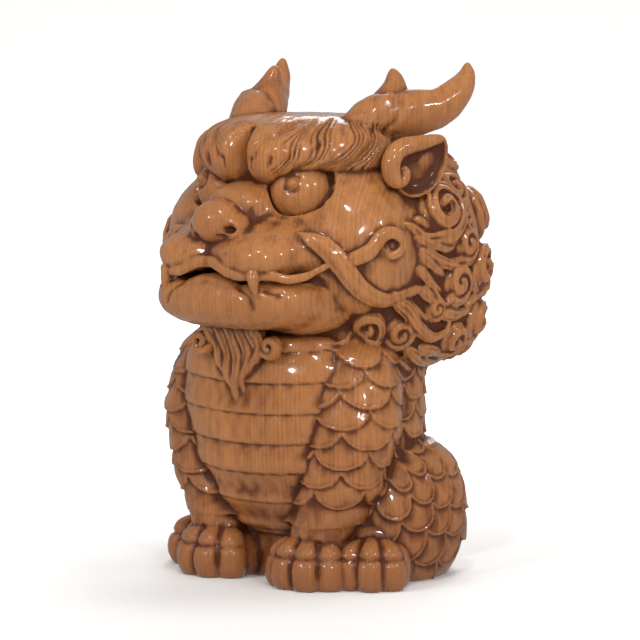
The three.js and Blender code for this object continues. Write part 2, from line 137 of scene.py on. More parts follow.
def oval(centre: Point, radii: Point, power: float = 2.0, low: float = 0.0) -> Field:
    """A field of an ellipsoid, or with a power over 2 of a squarer block with round edges. The
    coordinates over the radii are raised to the power and summed, and the root of the sum is the
    reach. The distance is the way from the centre times the reach less 1 over the reach.

    Args:
        centre: its middle.
        radii: half sizes.
        power: how square it is.
        low: height of the lower half where it differs from the upper one, or 0.

    Returns:
        The field.
    """
    c = np.array(centre, float)
    down = np.array([radii[0], radii[1], low or radii[2]], float)

    def field(p: Array) -> Array:
        """Distance of points to the ellipsoid or block."""
        q = p - c
        r = np.where(q[..., 2:] < 0, down, radii)
        reach = (np.abs(q / r) ** power).sum(-1) ** (1 / power)
        return (reach - 1) / np.maximum(reach, 1e-6) * np.linalg.norm(q, axis=-1)

    return field


def mirrored(field: Field) -> Field:
    """The same form on both sides of the figure."""
    return lambda p: field(np.concatenate([np.abs(p[..., :1]), p[..., 1:]], -1))


def blended(k: float, *fields: Field) -> Field:
    """Several forms run together.

    Args:
        k: size of the fillets between them.
        fields: the forms, joined in this order.

    Returns:
        The field of the whole.
    """

    def field(p: Array) -> Array:
        """Distance of points to the whole."""
        total = fields[0](p)
        for other in fields[1:]:
            total = soft_min(total, other(p), k)
        return total

    return field


def hollowed(field: Field, cut: Field, k: float) -> Field:
    """A form with another form taken out of it, its edge rounded by k."""
    return lambda p: -soft_min(-field(p), cut(p), k)


def within(cut: Field, field: Field, depth: float) -> Field:
    """The part of a cut that lies no deeper than depth under a form's skin."""
    return lambda p: np.maximum(cut(p), -(field(p) + depth))


REACH = 130.0  # longer than any way from inside a form to its skin
STEP_SHARE = 0.45  # of the distance to the skin that a ray may go at once
SHORTEST_STEP = 0.7
HALVINGS = 11  # of the last step


def exits(field: Field, origin: Array, direction: Array) -> Array:
    """Where rays from inside a form first leave it: each step is a share of the distance still to
    the skin, and halving closes in on the change of sign.

    Args:
        field: the form.
        origin: start points, (..., 3) or (3,).
        direction: unit vectors, (..., 3).

    Returns:
        The points on the skin, (..., 3).
    """
    start = np.broadcast_to(origin, direction.shape).reshape(-1, 3)
    ray = direction.reshape(-1, 3)
    low, high = np.zeros(len(ray)), np.full(len(ray), REACH)
    going, gap = np.arange(len(ray)), np.abs(field(start))
    while len(going):
        ahead = low[going] + np.maximum(STEP_SHARE * gap, SHORTEST_STEP)
        value = field(start[going] + ray[going] * ahead[:, None])
        out = (value > 0) | (ahead > REACH)
        high[going[out]] = ahead[out]
        going, gap = going[~out], -value[~out]
        low[going] = ahead[~out]
    for _ in range(HALVINGS):
        half = (low + high) / 2
        inside = field(start + ray * half[:, None]) < 0
        low, high = np.where(inside, half, low), np.where(inside, high, half)
    return (start + ray * high[:, None]).reshape(direction.shape)


def outward(field: Field, p: Array, e: float = 0.7) -> Array:
    """The outward direction of a form's skin at points, from differences over a short way e."""
    axes = np.eye(3) * e
    return unit(np.stack([field(p + a) - field(p - a) for a in axes], -1))


# Closed surfaces


@dataclass
class Skin:
    """A closed surface as points (n, 3) and triangles (m, 3)."""

    points: Array
    triangles: Array


def closed(grid: Array) -> Skin:
    """A grid that is round in its columns and shut at its first and last row, as triangles.

    Args:
        grid: points, (rows, columns, 3); the first and last rows are each one point.

    Returns:
        The surface.
    """
    rows, columns = grid.shape[:2]
    i, j = np.meshgrid(np.arange(rows - 1), np.arange(columns), indexing="ij")
    k = (j + 1) % columns
    a, b, c, d = i * columns + j, i * columns + k, (i + 1) * columns + k, (i + 1) * columns + j
    upper = np.stack([a, c, b], -1)[1:].reshape(-1, 3)
    lower = np.stack([a, d, c], -1)[:-1].reshape(-1, 3)
    return Skin(grid.reshape(-1, 3), np.concatenate([upper, lower]))


def around(columns: int) -> Array:
    """Even angles once round."""
    return np.arange(columns) / columns * TURN


def both(skins: list[Skin]) -> list[Skin]:
    """Surfaces with their mirror images."""
    return skins + [Skin(flipped(s.points), s.triangles[:, ::-1]) for s in skins]


def angles(columns: int, rows: int) -> tuple[Array, Array]:
    """Grid parameters: a once round from 0 to 2 pi, and b from 0 to pi down the rows."""
    return np.meshgrid(around(columns), np.linspace(0, np.pi, rows))


def sphere(columns: int, rows: int) -> Array:
    """Directions by the two angles of a sphere, from +Z down, and from -Y towards +X."""
    a, b = angles(columns, rows)
    return np.stack([np.sin(b) * np.sin(a), -np.sin(b) * np.cos(a), np.cos(b)], -1)


def lump(centre: Point, radii: Point, yaw: float = 0.0, power: float = 2.0, columns: int = 64) -> Skin:
    """An ellipsoid turned about the vertical, or with a power over 2 a squarer block: each of the
    sphere's coordinates is raised to 2 over the power.

    Args:
        centre: its middle.
        radii: across, along and up.
        yaw: angle that its long side turns from -Y towards +X.
        power: how square it is.
        columns: points round.

    Returns:
        The surface.
    """
    spread = sphere(columns, columns * 2 // 3)
    spread = np.sign(spread) * np.abs(spread) ** (2 / power) * np.array(radii)
    c, d = math.cos(yaw), math.sin(yaw)
    turn = np.array([(c, -d, 0), (d, c, 0), (0, 0, 1)])
    return closed(np.array(centre) + spread @ turn.T)


def shell(field: Field, centre: Point, columns: int, rows: int, spread: Point = (1, 1, 1)) -> Skin:
    """A form's skin seen from a centre inside it.

    Args:
        field: the form.
        centre: a place inside it.
        columns: rays round.
        rows: rays from top to bottom.
        spread: flattens the fan of rays for a low, wide form.

    Returns:
        The surface that the rays leave through.
    """
    fan = sphere(columns, rows) * np.array(spread)
    return closed(exits(field, np.array(centre, float), unit(fan)))


def swept(
    path: Array,
    normal: Array | Point,
    width: Array,
    height: Array,
    columns: int = 28,
    strands: int = 0,
    groove: float = 0.0,
) -> Skin:
    """A lock, horn or whisker: an oval section carried along a path. With strands the radius dips
    at even angles over the upper half, as one less groove times a sharp-bottomed wave.

    Args:
        path: middle line, (n, 3).
        normal: the section's upward direction, (n, 3) or (3,).
        width: half width at each place, (n,).
        height: half height at each place, (n,).
        columns: points round a section.
        strands: number of strands across the upper side.
        groove: depth of the grooves between them, as a share of the radius.

    Returns:
        The closed surface.
    """
    ahead = unit(np.gradient(path, axis=0))
    up = np.broadcast_to(normal, path.shape)
    up = unit(up - (up * ahead).sum(-1, keepdims=True) * ahead)
    side = np.cross(ahead, up)
    a = around(columns)
    dip = 1 + 0 * a
    if strands:
        dip = 1 - groove * (1 - np.abs(np.sin(strands * a))) ** 1.3 * (np.sin(a) > -0.2)
    w, h = np.array(width, float).copy(), np.array(height, float).copy()
    w[[0, -1]] = h[[0, -1]] = 0
    grid = (
        path[:, None]
        + side[:, None] * (w[:, None] * np.cos(a) * dip)[..., None]
        + up[:, None] * (h[:, None] * np.sin(a) * dip)[..., None]
    )
    return closed(grid)


def relaxed_path(path: Array, rounds: int) -> Array:
    """A path whose inner points are drawn to the mean of their neighbours and themselves.

    Args:
        path: points, (n, 3).
        rounds: how many times.

    Returns:
        The smoother path, (n, 3).
    """
    for _ in range(rounds):
        path = np.concatenate([path[:1], (path[:-2] + 2 * path[1:-1] + path[2:]) / 4, path[-1:]])
    return path


def blunt(t: Array, power: float = 6.0) -> Array:
    """A share that stays near 1 and closes round at t = 1."""
    return np.sqrt(np.maximum(0, 1 - t**power))


def both_ends(t: Array, power: float = 6.0) -> Array:
    """A share that closes round at both ends of t from 0 to 1."""
    return blunt(np.abs(2 * t - 1), power)


def spaced(values: tuple[float, ...], t: Array) -> Array:
    """Reads evenly spaced values at shares t of the way through them."""
    return np.interp(t * (len(values) - 1), np.arange(len(values)), values)


# Fine cuts pressed into the finished skin

CUT_STEPS = 8  # places on a cut's path for each control point
CUT_FADE = 5  # one over the share of the path in which a cut's end fades
CUT_END = 0.15  # share of the depth left at the very end


@dataclass(frozen=True)
class Cut:
    """A groove or a raised line along a path. Its depth falls off from the path's middle as a
    power of one less the distance over the width, and fades at both ends.

    Attributes:
        path: control points on the figure's left or middle, in millimetres.
        width: distance at which the cut ends.
        depth: how deep, and below zero how high a raised line stands.
        sharp: 1 for a V, 2 or more for a wider, softer dip.
        mirror: also on the figure's right.
    """

    path: tuple[Point, ...]
    width: float
    depth: float
    sharp: float = 1.4
    mirror: bool = True

    def push(self, points: Array) -> Array:
        """How far each point moves along its normal.

        Args:
            points: the skin's points, (n, 3).

        Returns:
            Movement along the normals, (n,).
        """
        moved = np.zeros(len(points))
        path = curve(self.path, CUT_STEPS * len(self.path))
        for line in (path, flipped(path)) if self.mirror else (path,):
            low, high = line.min(0) - 2 * self.width, line.max(0) + 2 * self.width
            near = np.where(((points > low) & (points < high)).all(1))[0]
            p = points[near]
            best, place = np.full(len(p), 1e9), np.zeros(len(p))
            for n, (a, b) in enumerate(zip(line[:-1], line[1:])):
                along_line = np.clip((p - a) @ (b - a) / max((b - a) @ (b - a), 1e-9), 0, 1)
                gap = np.linalg.norm(p - a - along_line[:, None] * (b - a), axis=1)
                closer = gap < best
                best = np.where(closer, gap, best)
                place = np.where(closer, (n + along_line) / (len(line) - 1), place)
            fade = np.clip(CUT_FADE * np.minimum(place, 1 - place) + CUT_END, 0, 1)
            profile = np.clip(1 - best / self.width, 0, 1) ** self.sharp
            moved[near] -= self.depth * profile * fade
        return moved


class CarvedPart:
    """A part of the carving: closed surfaces, and cuts to press into the finished skin."""

    def skins(self) -> list[Skin]:
        """The part's surfaces."""
        raise NotImplementedError

    def cuts(self) -> list[Cut]:
        """The part's cuts: none, unless it has its own."""
        return []


# Head


@dataclass
class Head(CarvedPart):
    """Skull, cheeks, muzzle, nose and jaw as one blended form, with eye sockets, nostrils and the
    slot of the mouth taken out of it.

    Attributes:
        centre: inside the skull; rays to the skin of the head start here.
        nape, crest: the mass that the mane lies on.
        gaze: from the middle of the left eye to its pupil.
        lid_depth: how deep a socket goes in under the lids.
        rim_round: rounding of the rims of sockets, nostrils and mouth.
        mouth_line: height of the slot by the way out to the side.
        mouth_open: half its thickness in the middle.
        narrows, shuts: how much thinner it gets on the way out to the side, and at the corners.
        soft_bulk and the others: fillets, each where the form that it names joins on.
    """

    centre: Point = (0, 4, 134)
    skull: OvalSizes = ((0, 6, 140), (46, 42, 37), 2.3, 0)
    cheek: OvalSizes = ((27, -10, 128), (28, 26, 28.5), 2.2, 0)
    nape: OvalSizes = ((0, 17, 118), (53, 39.5, 42), 3, 0)
    crest: OvalSizes = ((0, 20, 120), (54.2, 35.5, 43), 3, 0)
    muzzle: OvalSizes = ((0, -32, 127), (34, 25, 14.5), 2.3, 8)
    lip_pad: OvalSizes = ((14, -47.6, 126.5), (15.6, 13.8, 7.6), 2.25, 9.6)
    bridge: OvalSizes = ((0, -37, 144.5), (13, 15, 9), 2.3, 0)
    nose: OvalSizes = ((0, -53.5, 139.6), (10, 9, 8.2), 2.0, 0)
    nose_side: OvalSizes = ((7.4, -52, 137.2), (5.2, 7, 5.2), 2.0, 0)
    jaw: OvalSizes = ((0, -35, 111), (36, 26, 8.5), 2.8, 13)
    jaw_corner: OvalSizes = ((19, -26, 107), (18, 17, 11), 2.4, 0)
    chin: OvalSizes = ((0, -50, 111), (14, 12.5, 8.5), 2.4, 9.5)
    nostril: OvalSizes = ((9.4, -58.5, 137.0), (2.3, 4.6, 1.7), 2.0, 0)
    eye: Point = (18.5, -26.5, 150)
    eye_radius: float = 11.9
    pupil_radius: float = 2.0
    gaze: Point = (0.37, -0.87, 0.32)
    socket: float = 13.1
    lid_depth: float = 3.4
    rim_round: float = 0.8
    mouth_line: Table = (
        (0, 121.6), (4, 120.6), (9, 119), (15, 117.9), (21, 118.3), (30, 117.2), (35, 119.6), (40, 123),
    )
    mouth_open: float = 1.8
    narrows: Ramp = (8, 24, 1.5)
    shuts: Ramp = (29, 34, 0.8)
    mouth_depth: float = 6.5
    mouth_reach: float = 40
    soft_bulk: float = 6
    soft_muzzle: float = 11
    soft_lip_pad: float = 5
    soft_bridge: float = 6
    soft_nose: float = 1.6
    soft_nose_side: float = 2
    soft_jaw: float = 4
    soft_chin: float = 3

    def bare(self) -> Field:
        """Skull, cheeks and the mass under the mane."""
        forms = (oval(*self.skull), mirrored(oval(*self.cheek)), oval(*self.nape), oval(*self.crest))
        return blended(self.soft_bulk, *forms)

    def form(self) -> Field:
        """The whole head before its hollows are cut.

        Returns:
            Its field.
        """
        muzzle = blended(self.soft_lip_pad, oval(*self.muzzle), mirrored(oval(*self.lip_pad)))
        nose = blended(self.soft_nose_side, oval(*self.nose), mirrored(oval(*self.nose_side)))
        jaw = blended(self.soft_chin, oval(*self.jaw), mirrored(oval(*self.jaw_corner)), oval(*self.chin))
        whole = blended(self.soft_muzzle, self.bare(), muzzle)
        whole = blended(self.soft_bridge, whole, oval(*self.bridge))
        return blended(self.soft_jaw, blended(self.soft_nose, whole, nose), jaw)

    def onto(self, field: Field, points: Array | tuple[Point, ...]) -> Array:
        """The skin of one of the head's forms in the direction of points from the head's centre."""
        centre = np.array(self.centre, float)
        return exits(field, centre, unit(np.asarray(points, float) - centre))

    def face(self) -> Field:
        """The head with its eye sockets, nostrils and mouth cut in.

        Returns:
            Its field.
        """
        whole = self.form()
        socket = mirrored(oval(self.eye, (self.socket,) * 3))
        cut = hollowed(whole, within(socket, whole, self.lid_depth), self.rim_round)
        cut = hollowed(cut, mirrored(oval(*self.nostril)), self.rim_round)
        return hollowed(cut, within(self.mouth_slot(), whole, self.mouth_depth), self.rim_round)

    def mouth_slot(self) -> Field:
        """The open line between the lips: a thin wavy slab that follows the upper lip's M,
        narrows towards the corners and shuts before them.

        Returns:
            Its field.
        """

        def field(p: Array) -> Array:
            """Height over or under the line, less half the slot's thickness there."""
            x = np.abs(p[..., 0])
            thick = self.mouth_open
            for start, end, less in (self.narrows, self.shuts):
                thick = thick - less * eased(x, start, end)
            return np.maximum(np.abs(p[..., 2] - along(self.mouth_line, x)) - thick, x - self.mouth_reach)

        return field

    def skins(self) -> list[Skin]:
        """The head seen from inside at four places, so that no part hides another, and the eyes.

        Returns:
            The surfaces.
        """
        face = self.face()
        pupil = np.array(self.eye) + self.eye_radius * unit(np.array(self.gaze))
        return [
            shell(face, self.centre, 420, 240),
            shell(face, (0, -40, 127), 420, 130, (1, 0.8, 0.5)),
            shell(face, (0, -40, 110), 420, 110, (1, 0.8, 0.4)),
            shell(face, (0, -49, 141), 220, 120),
            *both([
                lump(self.eye, (self.eye_radius,) * 3, columns=96),
                lump(tuple(pupil), (self.pupil_radius,) * 3, columns=96),
            ]),
        ]

    def cuts(self) -> list[Cut]:
        """Creases of the face, and an open ring round each pupil on its eyeball: points at even
        angles round the direction of gaze.

        Returns:
            The cuts.
        """
        gaze = unit(np.array(self.gaze))
        side = unit(np.cross(UP, gaze))
        turn = np.linspace(0.4, 5.6, 9)[:, None]
        round_it = side * np.cos(turn) + np.cross(gaze, side) * np.sin(turn)
        ring = np.array(self.eye) + self.eye_radius * (0.96 * gaze + 0.28 * round_it)
        return [
            Cut(tuple(map(tuple, ring)), 1.1, 0.8),
            Cut(((10.5, -61, 134), (9, -61.5, 131), (10.5, -61.8, 127)), 1.7, 1.1),
            Cut(((0, -63, 133), (0, -62, 129), (0, -61, 125)), 2.4, 0.9, mirror=False),
            Cut(
                ((9, -45, 146), (12.5, -47.5, 143), (14.3, -50, 138.5), (12.8, -53.5, 134), (8, -58, 131.6)),
                2.6, 0.6,
            ),
            Cut(
                ((4.5, -60, 134.4), (7, -58.5, 134.2), (9.8, -58, 135.4), (10.8, -57.6, 138), (9.4, -58.5, 139.6)),
                1.7, 1.6,
            ),
            Cut(((12.4, -57.5, 117.5), (17.5, -58.8, 114.4), (20.6, -58.4, 110.5), (21.6, -56.5, 106)), 2.6, 1.5),
            Cut(((24, -55.1, 116), (27.4, -54.2, 114.4), (31.1, -51.8, 112.8)), 3.0, 1.6),
            Cut(((20, -37, 134), (27, -43, 130), (31, -46, 125)), 4.5, 0.6, 2.0),
            Cut(((33, -23, 152.5), (37, -18.5, 152.6), (39.5, -15.5, 151.8)), 2.6, 2.2),
            Cut(((30.5, -22, 144), (26, -29, 140), (19, -35.5, 139.4), (11, -38.5, 141.5)), 2.2, 0.9),
            Cut(((36, -24, 146), (40, -21, 142), (44, -20, 139)), 3.5, 0.7, 2.0),
        ]


@dataclass
class Brows(CarvedPart):
    """The cap of brow hair: two thick lobes with a notch between them, and strands that swirl from
    the parting down to the lower edge.

    Attributes:
        top: height over the centre.
        strands: round the whole cap.
        lock_strands: strands to a lock.
        reach: radius by the angle from straight ahead.
        lower: how far the cap hangs under the centre, by the same angle.
        lower_more: by which that is multiplied.
        flat: power that flattens the lower and the upper side.
    """

    centre: Point = (0, 0, 163)
    top: float = 15.2
    strands: int = 126
    lock_strands: float = 9
    strand_depth: float = 0.95
    lock_depth: float = 1.3
    notch_depth: float = 10
    notch_width: float = 0.08
    reach: Table = ((0, 43), (0.2, 44.4), (0.45, 45), (0.85, 43), (1.4, 42.5), (1.8, 39), (3.2, 34))
    lower: Table = (
        (0, 10), (0.15, 12), (0.3, 13), (0.44, 10.8), (0.6, 7.6), (0.8, 7), (1.05, 8.8), (1.4, 10.5), (3.2, 12),
    )
    lower_more: float = 1.05
    flat: float = 0.9

    def swirl(self, side: Array, b: Array) -> Array:
        """The angle that a strand started from. Strands lean to the front as they fall, and wander
        by slow sines.

        Args:
            side: angle from straight ahead.
            b: angle down from the crown.

        Returns:
            The angle at the parting.
        """
        bend = 0.26 * (b - 1.2) + 0.05 * np.sin(5.2 * b + 4 * side)
        return side + bend + 0.03 * np.sin(9 * side) + 0.015 * np.sin(23 * side + 4 * b)

    def hair(self, side: Array, b: Array) -> Array:
        """Where strands are cut: on the front and sides, fading near the notch and the lower edge.

        Args:
            side: angle from straight ahead.
            b: angle down from the crown.

        Returns:
            Shares from 0 to 1.
        """
        fall = eased(b, 0.2, 0.6) * (1 - eased(b, 1.7, 2.25))
        return eased(side, 2.3, 1.3) * fall * (0.4 + 0.6 * eased(side, 0.2, 0.5))

    def skins(self) -> list[Skin]:
        """Radius by angle from the front times a flattened sine of the way down, less a notch and
        broad grooves between locks, each a power of a cosine of the strand's angle.

        Returns:
            The one surface of the cap.
        """
        a, b = angles(900, 260)
        a = a - np.pi
        side = np.abs(a)
        out = along(self.reach, side) * np.sin(b) ** 0.5
        notch = np.exp(-((side / self.notch_width) ** 2)) * eased(b, 0.5, 1.2)
        locks = (0.5 + 0.5 * np.cos(self.strands / self.lock_strands * self.swirl(side, b) + 1.2)) ** 5
        locks = locks * self.hair(side, b)
        out = out - self.notch_depth * notch - self.lock_depth * locks
        up = np.cos(b)
        rise = np.where(up > 0, self.top - 0.6 * locks, along(self.lower, side) * self.lower_more)
        grid = np.stack([np.sin(a) * out, -np.cos(a) * out, np.sign(up) * np.abs(up) ** self.flat * rise], -1)
        grid = grid + np.array(self.centre)
        grid[[0, -1]] = grid[[0, -1]].mean(1, keepdims=True)
        return [closed(grid)]

    def push(self, points: Array) -> Array:
        """Fine strand grooves, where a point lies on the cap's own skin.

        Args:
            points: the skin's points, (n, 3).

        Returns:
            Movement along the normals, (n,).
        """
        x, y, z = (points - np.array(self.centre)).T
        side = np.abs(np.arctan2(x, -y))
        rise = np.where(z > 0, self.top, along(self.lower, side) * self.lower_more)
        b = np.arccos(np.clip(np.sign(z) * (np.abs(z) / rise) ** (1 / self.flat), -1, 1))
        gap = np.abs(np.hypot(x, y) - along(self.reach, side) * np.sin(b) ** 0.5)
        here = eased(gap, 5.0, 2.5) * eased(z, -0.9 * rise, -0.6 * rise) * (z < rise * 1.05)
        turn = self.swirl(side, b)
        groove = (0.5 + 0.5 * np.cos(self.strands * turn)) ** 1.5
        uneven = 0.6 + 0.4 * np.sin(self.strands / 5.3 * turn + 0.7)
        return -self.strand_depth * groove * uneven * self.hair(side, b) * here

    def cuts(self) -> list[Cut]:
        """The scroll at the inner end of each lobe, and the long lock lines over it.

        Returns:
            The cuts.
        """
        return [
            Cut(
                ((9.5, -42.5, 165), (6.4, -43.5, 161), (6.8, -43.5, 156.5), (10, -43, 154.8), (12.4, -42.5, 157.2)),
                2.2, 2.0,
            ),
            Cut(((3, -12, 176), (9, -26, 173.5), (15, -37, 168), (15.5, -42, 162), (13, -43, 158)), 2.2, 1.3),
            Cut(((5, -6, 177), (14, -20, 174.5), (22, -32, 169), (22.5, -38.5, 163), (19.5, -40.5, 158)), 2.2, 1.3),
            Cut(((7, -3, 177.6), (19, -15, 175), (28, -26, 170), (29, -33, 164), (26.5, -36.5, 159)), 2.0, 1.1),
            Cut(((1, -16, 176.5), (4.5, -28, 173), (9, -38, 168), (10.5, -42.5, 164)), 2.0, 1.0),
        ]


@dataclass
class Horns(CarvedPart):
    """A thick stem that sweeps back and up from the forehead, with one tine.

    Attributes:
        stem, tine: middle lines.
        stem_thick, tine_thick: half widths along them.
        flatness: half height over half width.
        steps: sections along each.
    """

    stem: tuple[Point, ...] = (
        (24.5, -9, 166.5), (30, 2.5, 175.8), (37.5, 17, 178.8), (43, 27, 181.3), (46, 34, 187), (47, 38, 192.5),
        (46.8, 39, 198),
    )
    stem_thick: tuple[float, ...] = (7.6, 9.6, 9.2, 7.6, 5.9, 4.2, 2.4)
    tine: tuple[Point, ...] = ((30, 6.5, 174), (31.2, 11, 182), (31, 13.6, 189), (29.6, 14.6, 195.8))
    tine_thick: tuple[float, ...] = (10.5, 8.6, 5.0, 2.5)
    flatness: float = 0.92
    steps: int = 110

    def skins(self) -> list[Skin]:
        """Oval sections whose thickness runs through given values and closes round at the tips.

        Returns:
            Stems and tines.
        """
        made = []
        for path, thick in ((self.stem, self.stem_thick), (self.tine, self.tine_thick)):
            knots = tuple((value, 0, 0) for value in thick)
            wide = curve(knots, self.steps)[:, 0] * blunt(np.linspace(0, 1, self.steps), 9)
            made.append(swept(curve(path, self.steps), (1, 0, 0.2), wide, wide * self.flatness, 56))
        return both(made)

    def cuts(self) -> list[Cut]:
        """The ridge from the tine down the root, and the crease behind it.

        Returns:
            The cuts.
        """
        return [
            Cut(((34, 5, 192), (36.5, 4, 186), (35, -1, 181), (34, -6, 175), (32, -9, 169)), 3.2, -1.3),
            Cut(((39, 8, 184), (40, 4, 178), (38, -1, 172), (36, -4, 168)), 3.0, 0.9),
        ]


@dataclass
class Ears(CarvedPart):
    """A hollowed leaf on each side that points up and back, with a thick roll round its front.

    Attributes:
        middle: of the left leaf.
        long, face: directions of its tip and of its hollow side.
        length, width: half sizes of the leaf.
        sink, swell: height of its rim over the hollow, and depth of its back.
        roll, roll_thick: the roll's middle line and its half thickness along it.
    """

    middle: Point = (49.8, 4.6, 159)
    long: Point = (0.2, 0.66, 0.72)
    face: Point = (0.93, -0.36, 0.1)
    length: float = 12.6
    width: float = 9.6
    sink: float = 3.3
    swell: float = 6
    roll: tuple[Point, ...] = (
        (53.3, 15, 169.8), (51.7, 11, 169), (49.3, 4.5, 168), (47.3, -1.5, 167), (46, -5.5, 165), (45.4, -7.8, 161.5),
        (45.6, -8, 157.5), (46.3, -6.6, 154.4), (47.4, -4.2, 154.6), (47.9, -3, 157.4), (47.6, -3.6, 160),
    )
    roll_thick: tuple[float, ...] = (1.2, 2.2, 3.0, 3.5, 3.6, 3.6, 3.5, 3.2, 2.7, 2.2, 1.6)

    def skins(self) -> list[Skin]:
        """The leaf is an oval disc whose tip is drawn out by a power of the cosine. Its face is
        raised by a power of the ring's radius, which leaves the rim under the roll, and its back
        swells. The roll ends in a hook inside.

        Returns:
            Leaves and rolls.
        """
        a, b = angles(160, 110)
        long = unit(np.array(self.long))
        face = np.array(self.face)
        face = unit(face - face @ long * long)
        across = np.cross(long, face)
        ring = np.sin(b) ** 0.8
        hollow = np.where(np.cos(b) > 0, self.sink * ring**5 - 0.5, self.swell * np.cos(b))
        tip = 1 + 0.22 * np.maximum(0, np.cos(a)) ** 4
        grid = (
            np.array(self.middle)
            + long * (self.length * tip * np.cos(a) * ring)[..., None]
            + across * (self.width * np.sin(a) * ring)[..., None]
            + face * hollow[..., None]
        )
        t = np.linspace(0, 1, 130)
        thick = spaced(self.roll_thick, t) * both_ends(t, 12)
        path = curve(self.roll, len(t)) + face * (1.2 + 1.6 * t)[:, None]
        return both([closed(grid), swept(path, face, thick, thick * 1.1, 36)])

    def cuts(self) -> list[Cut]:
        """The crease from the hook up the inside of the ear."""
        return [Cut(((49.5, -1, 159.5), (51, 5, 162.5), (52.5, 11, 167)), 2.2, 1.3)]


# Hair and whiskers


@dataclass(frozen=True)
class Snail:
    """One snail curl: a lock that comes in at its rim and winds to its middle.

    Attributes:
        place: near its middle on the head's left side.
        radius: of its rim.
        start: angle at which the lock meets the rim, in radians, from the side towards the back.
        turns: of the winding, below zero the other way.
        tail: places that the lock comes from, outermost first.
        strands: ridges along the lock.
    """

    place: Point
    radius: float
    start: float
    turns: float = 1.5
    tail: tuple[Point, ...] = ()
    strands: int = 3


@dataclass(frozen=True)
class Lock:
    """A lock of hair laid on the head.

    Attributes:
        points: control points near the head's skin.
        width: half width at its thickest.
        strands: ridges along it.
        lift: how far its middle line stands over the skin.
        thin: half width at its end as a share of its thickest.
    """

    points: tuple[Point, ...]
    width: float
    strands: int = 3
    lift: float = 0.4
    thin: float = 0.25


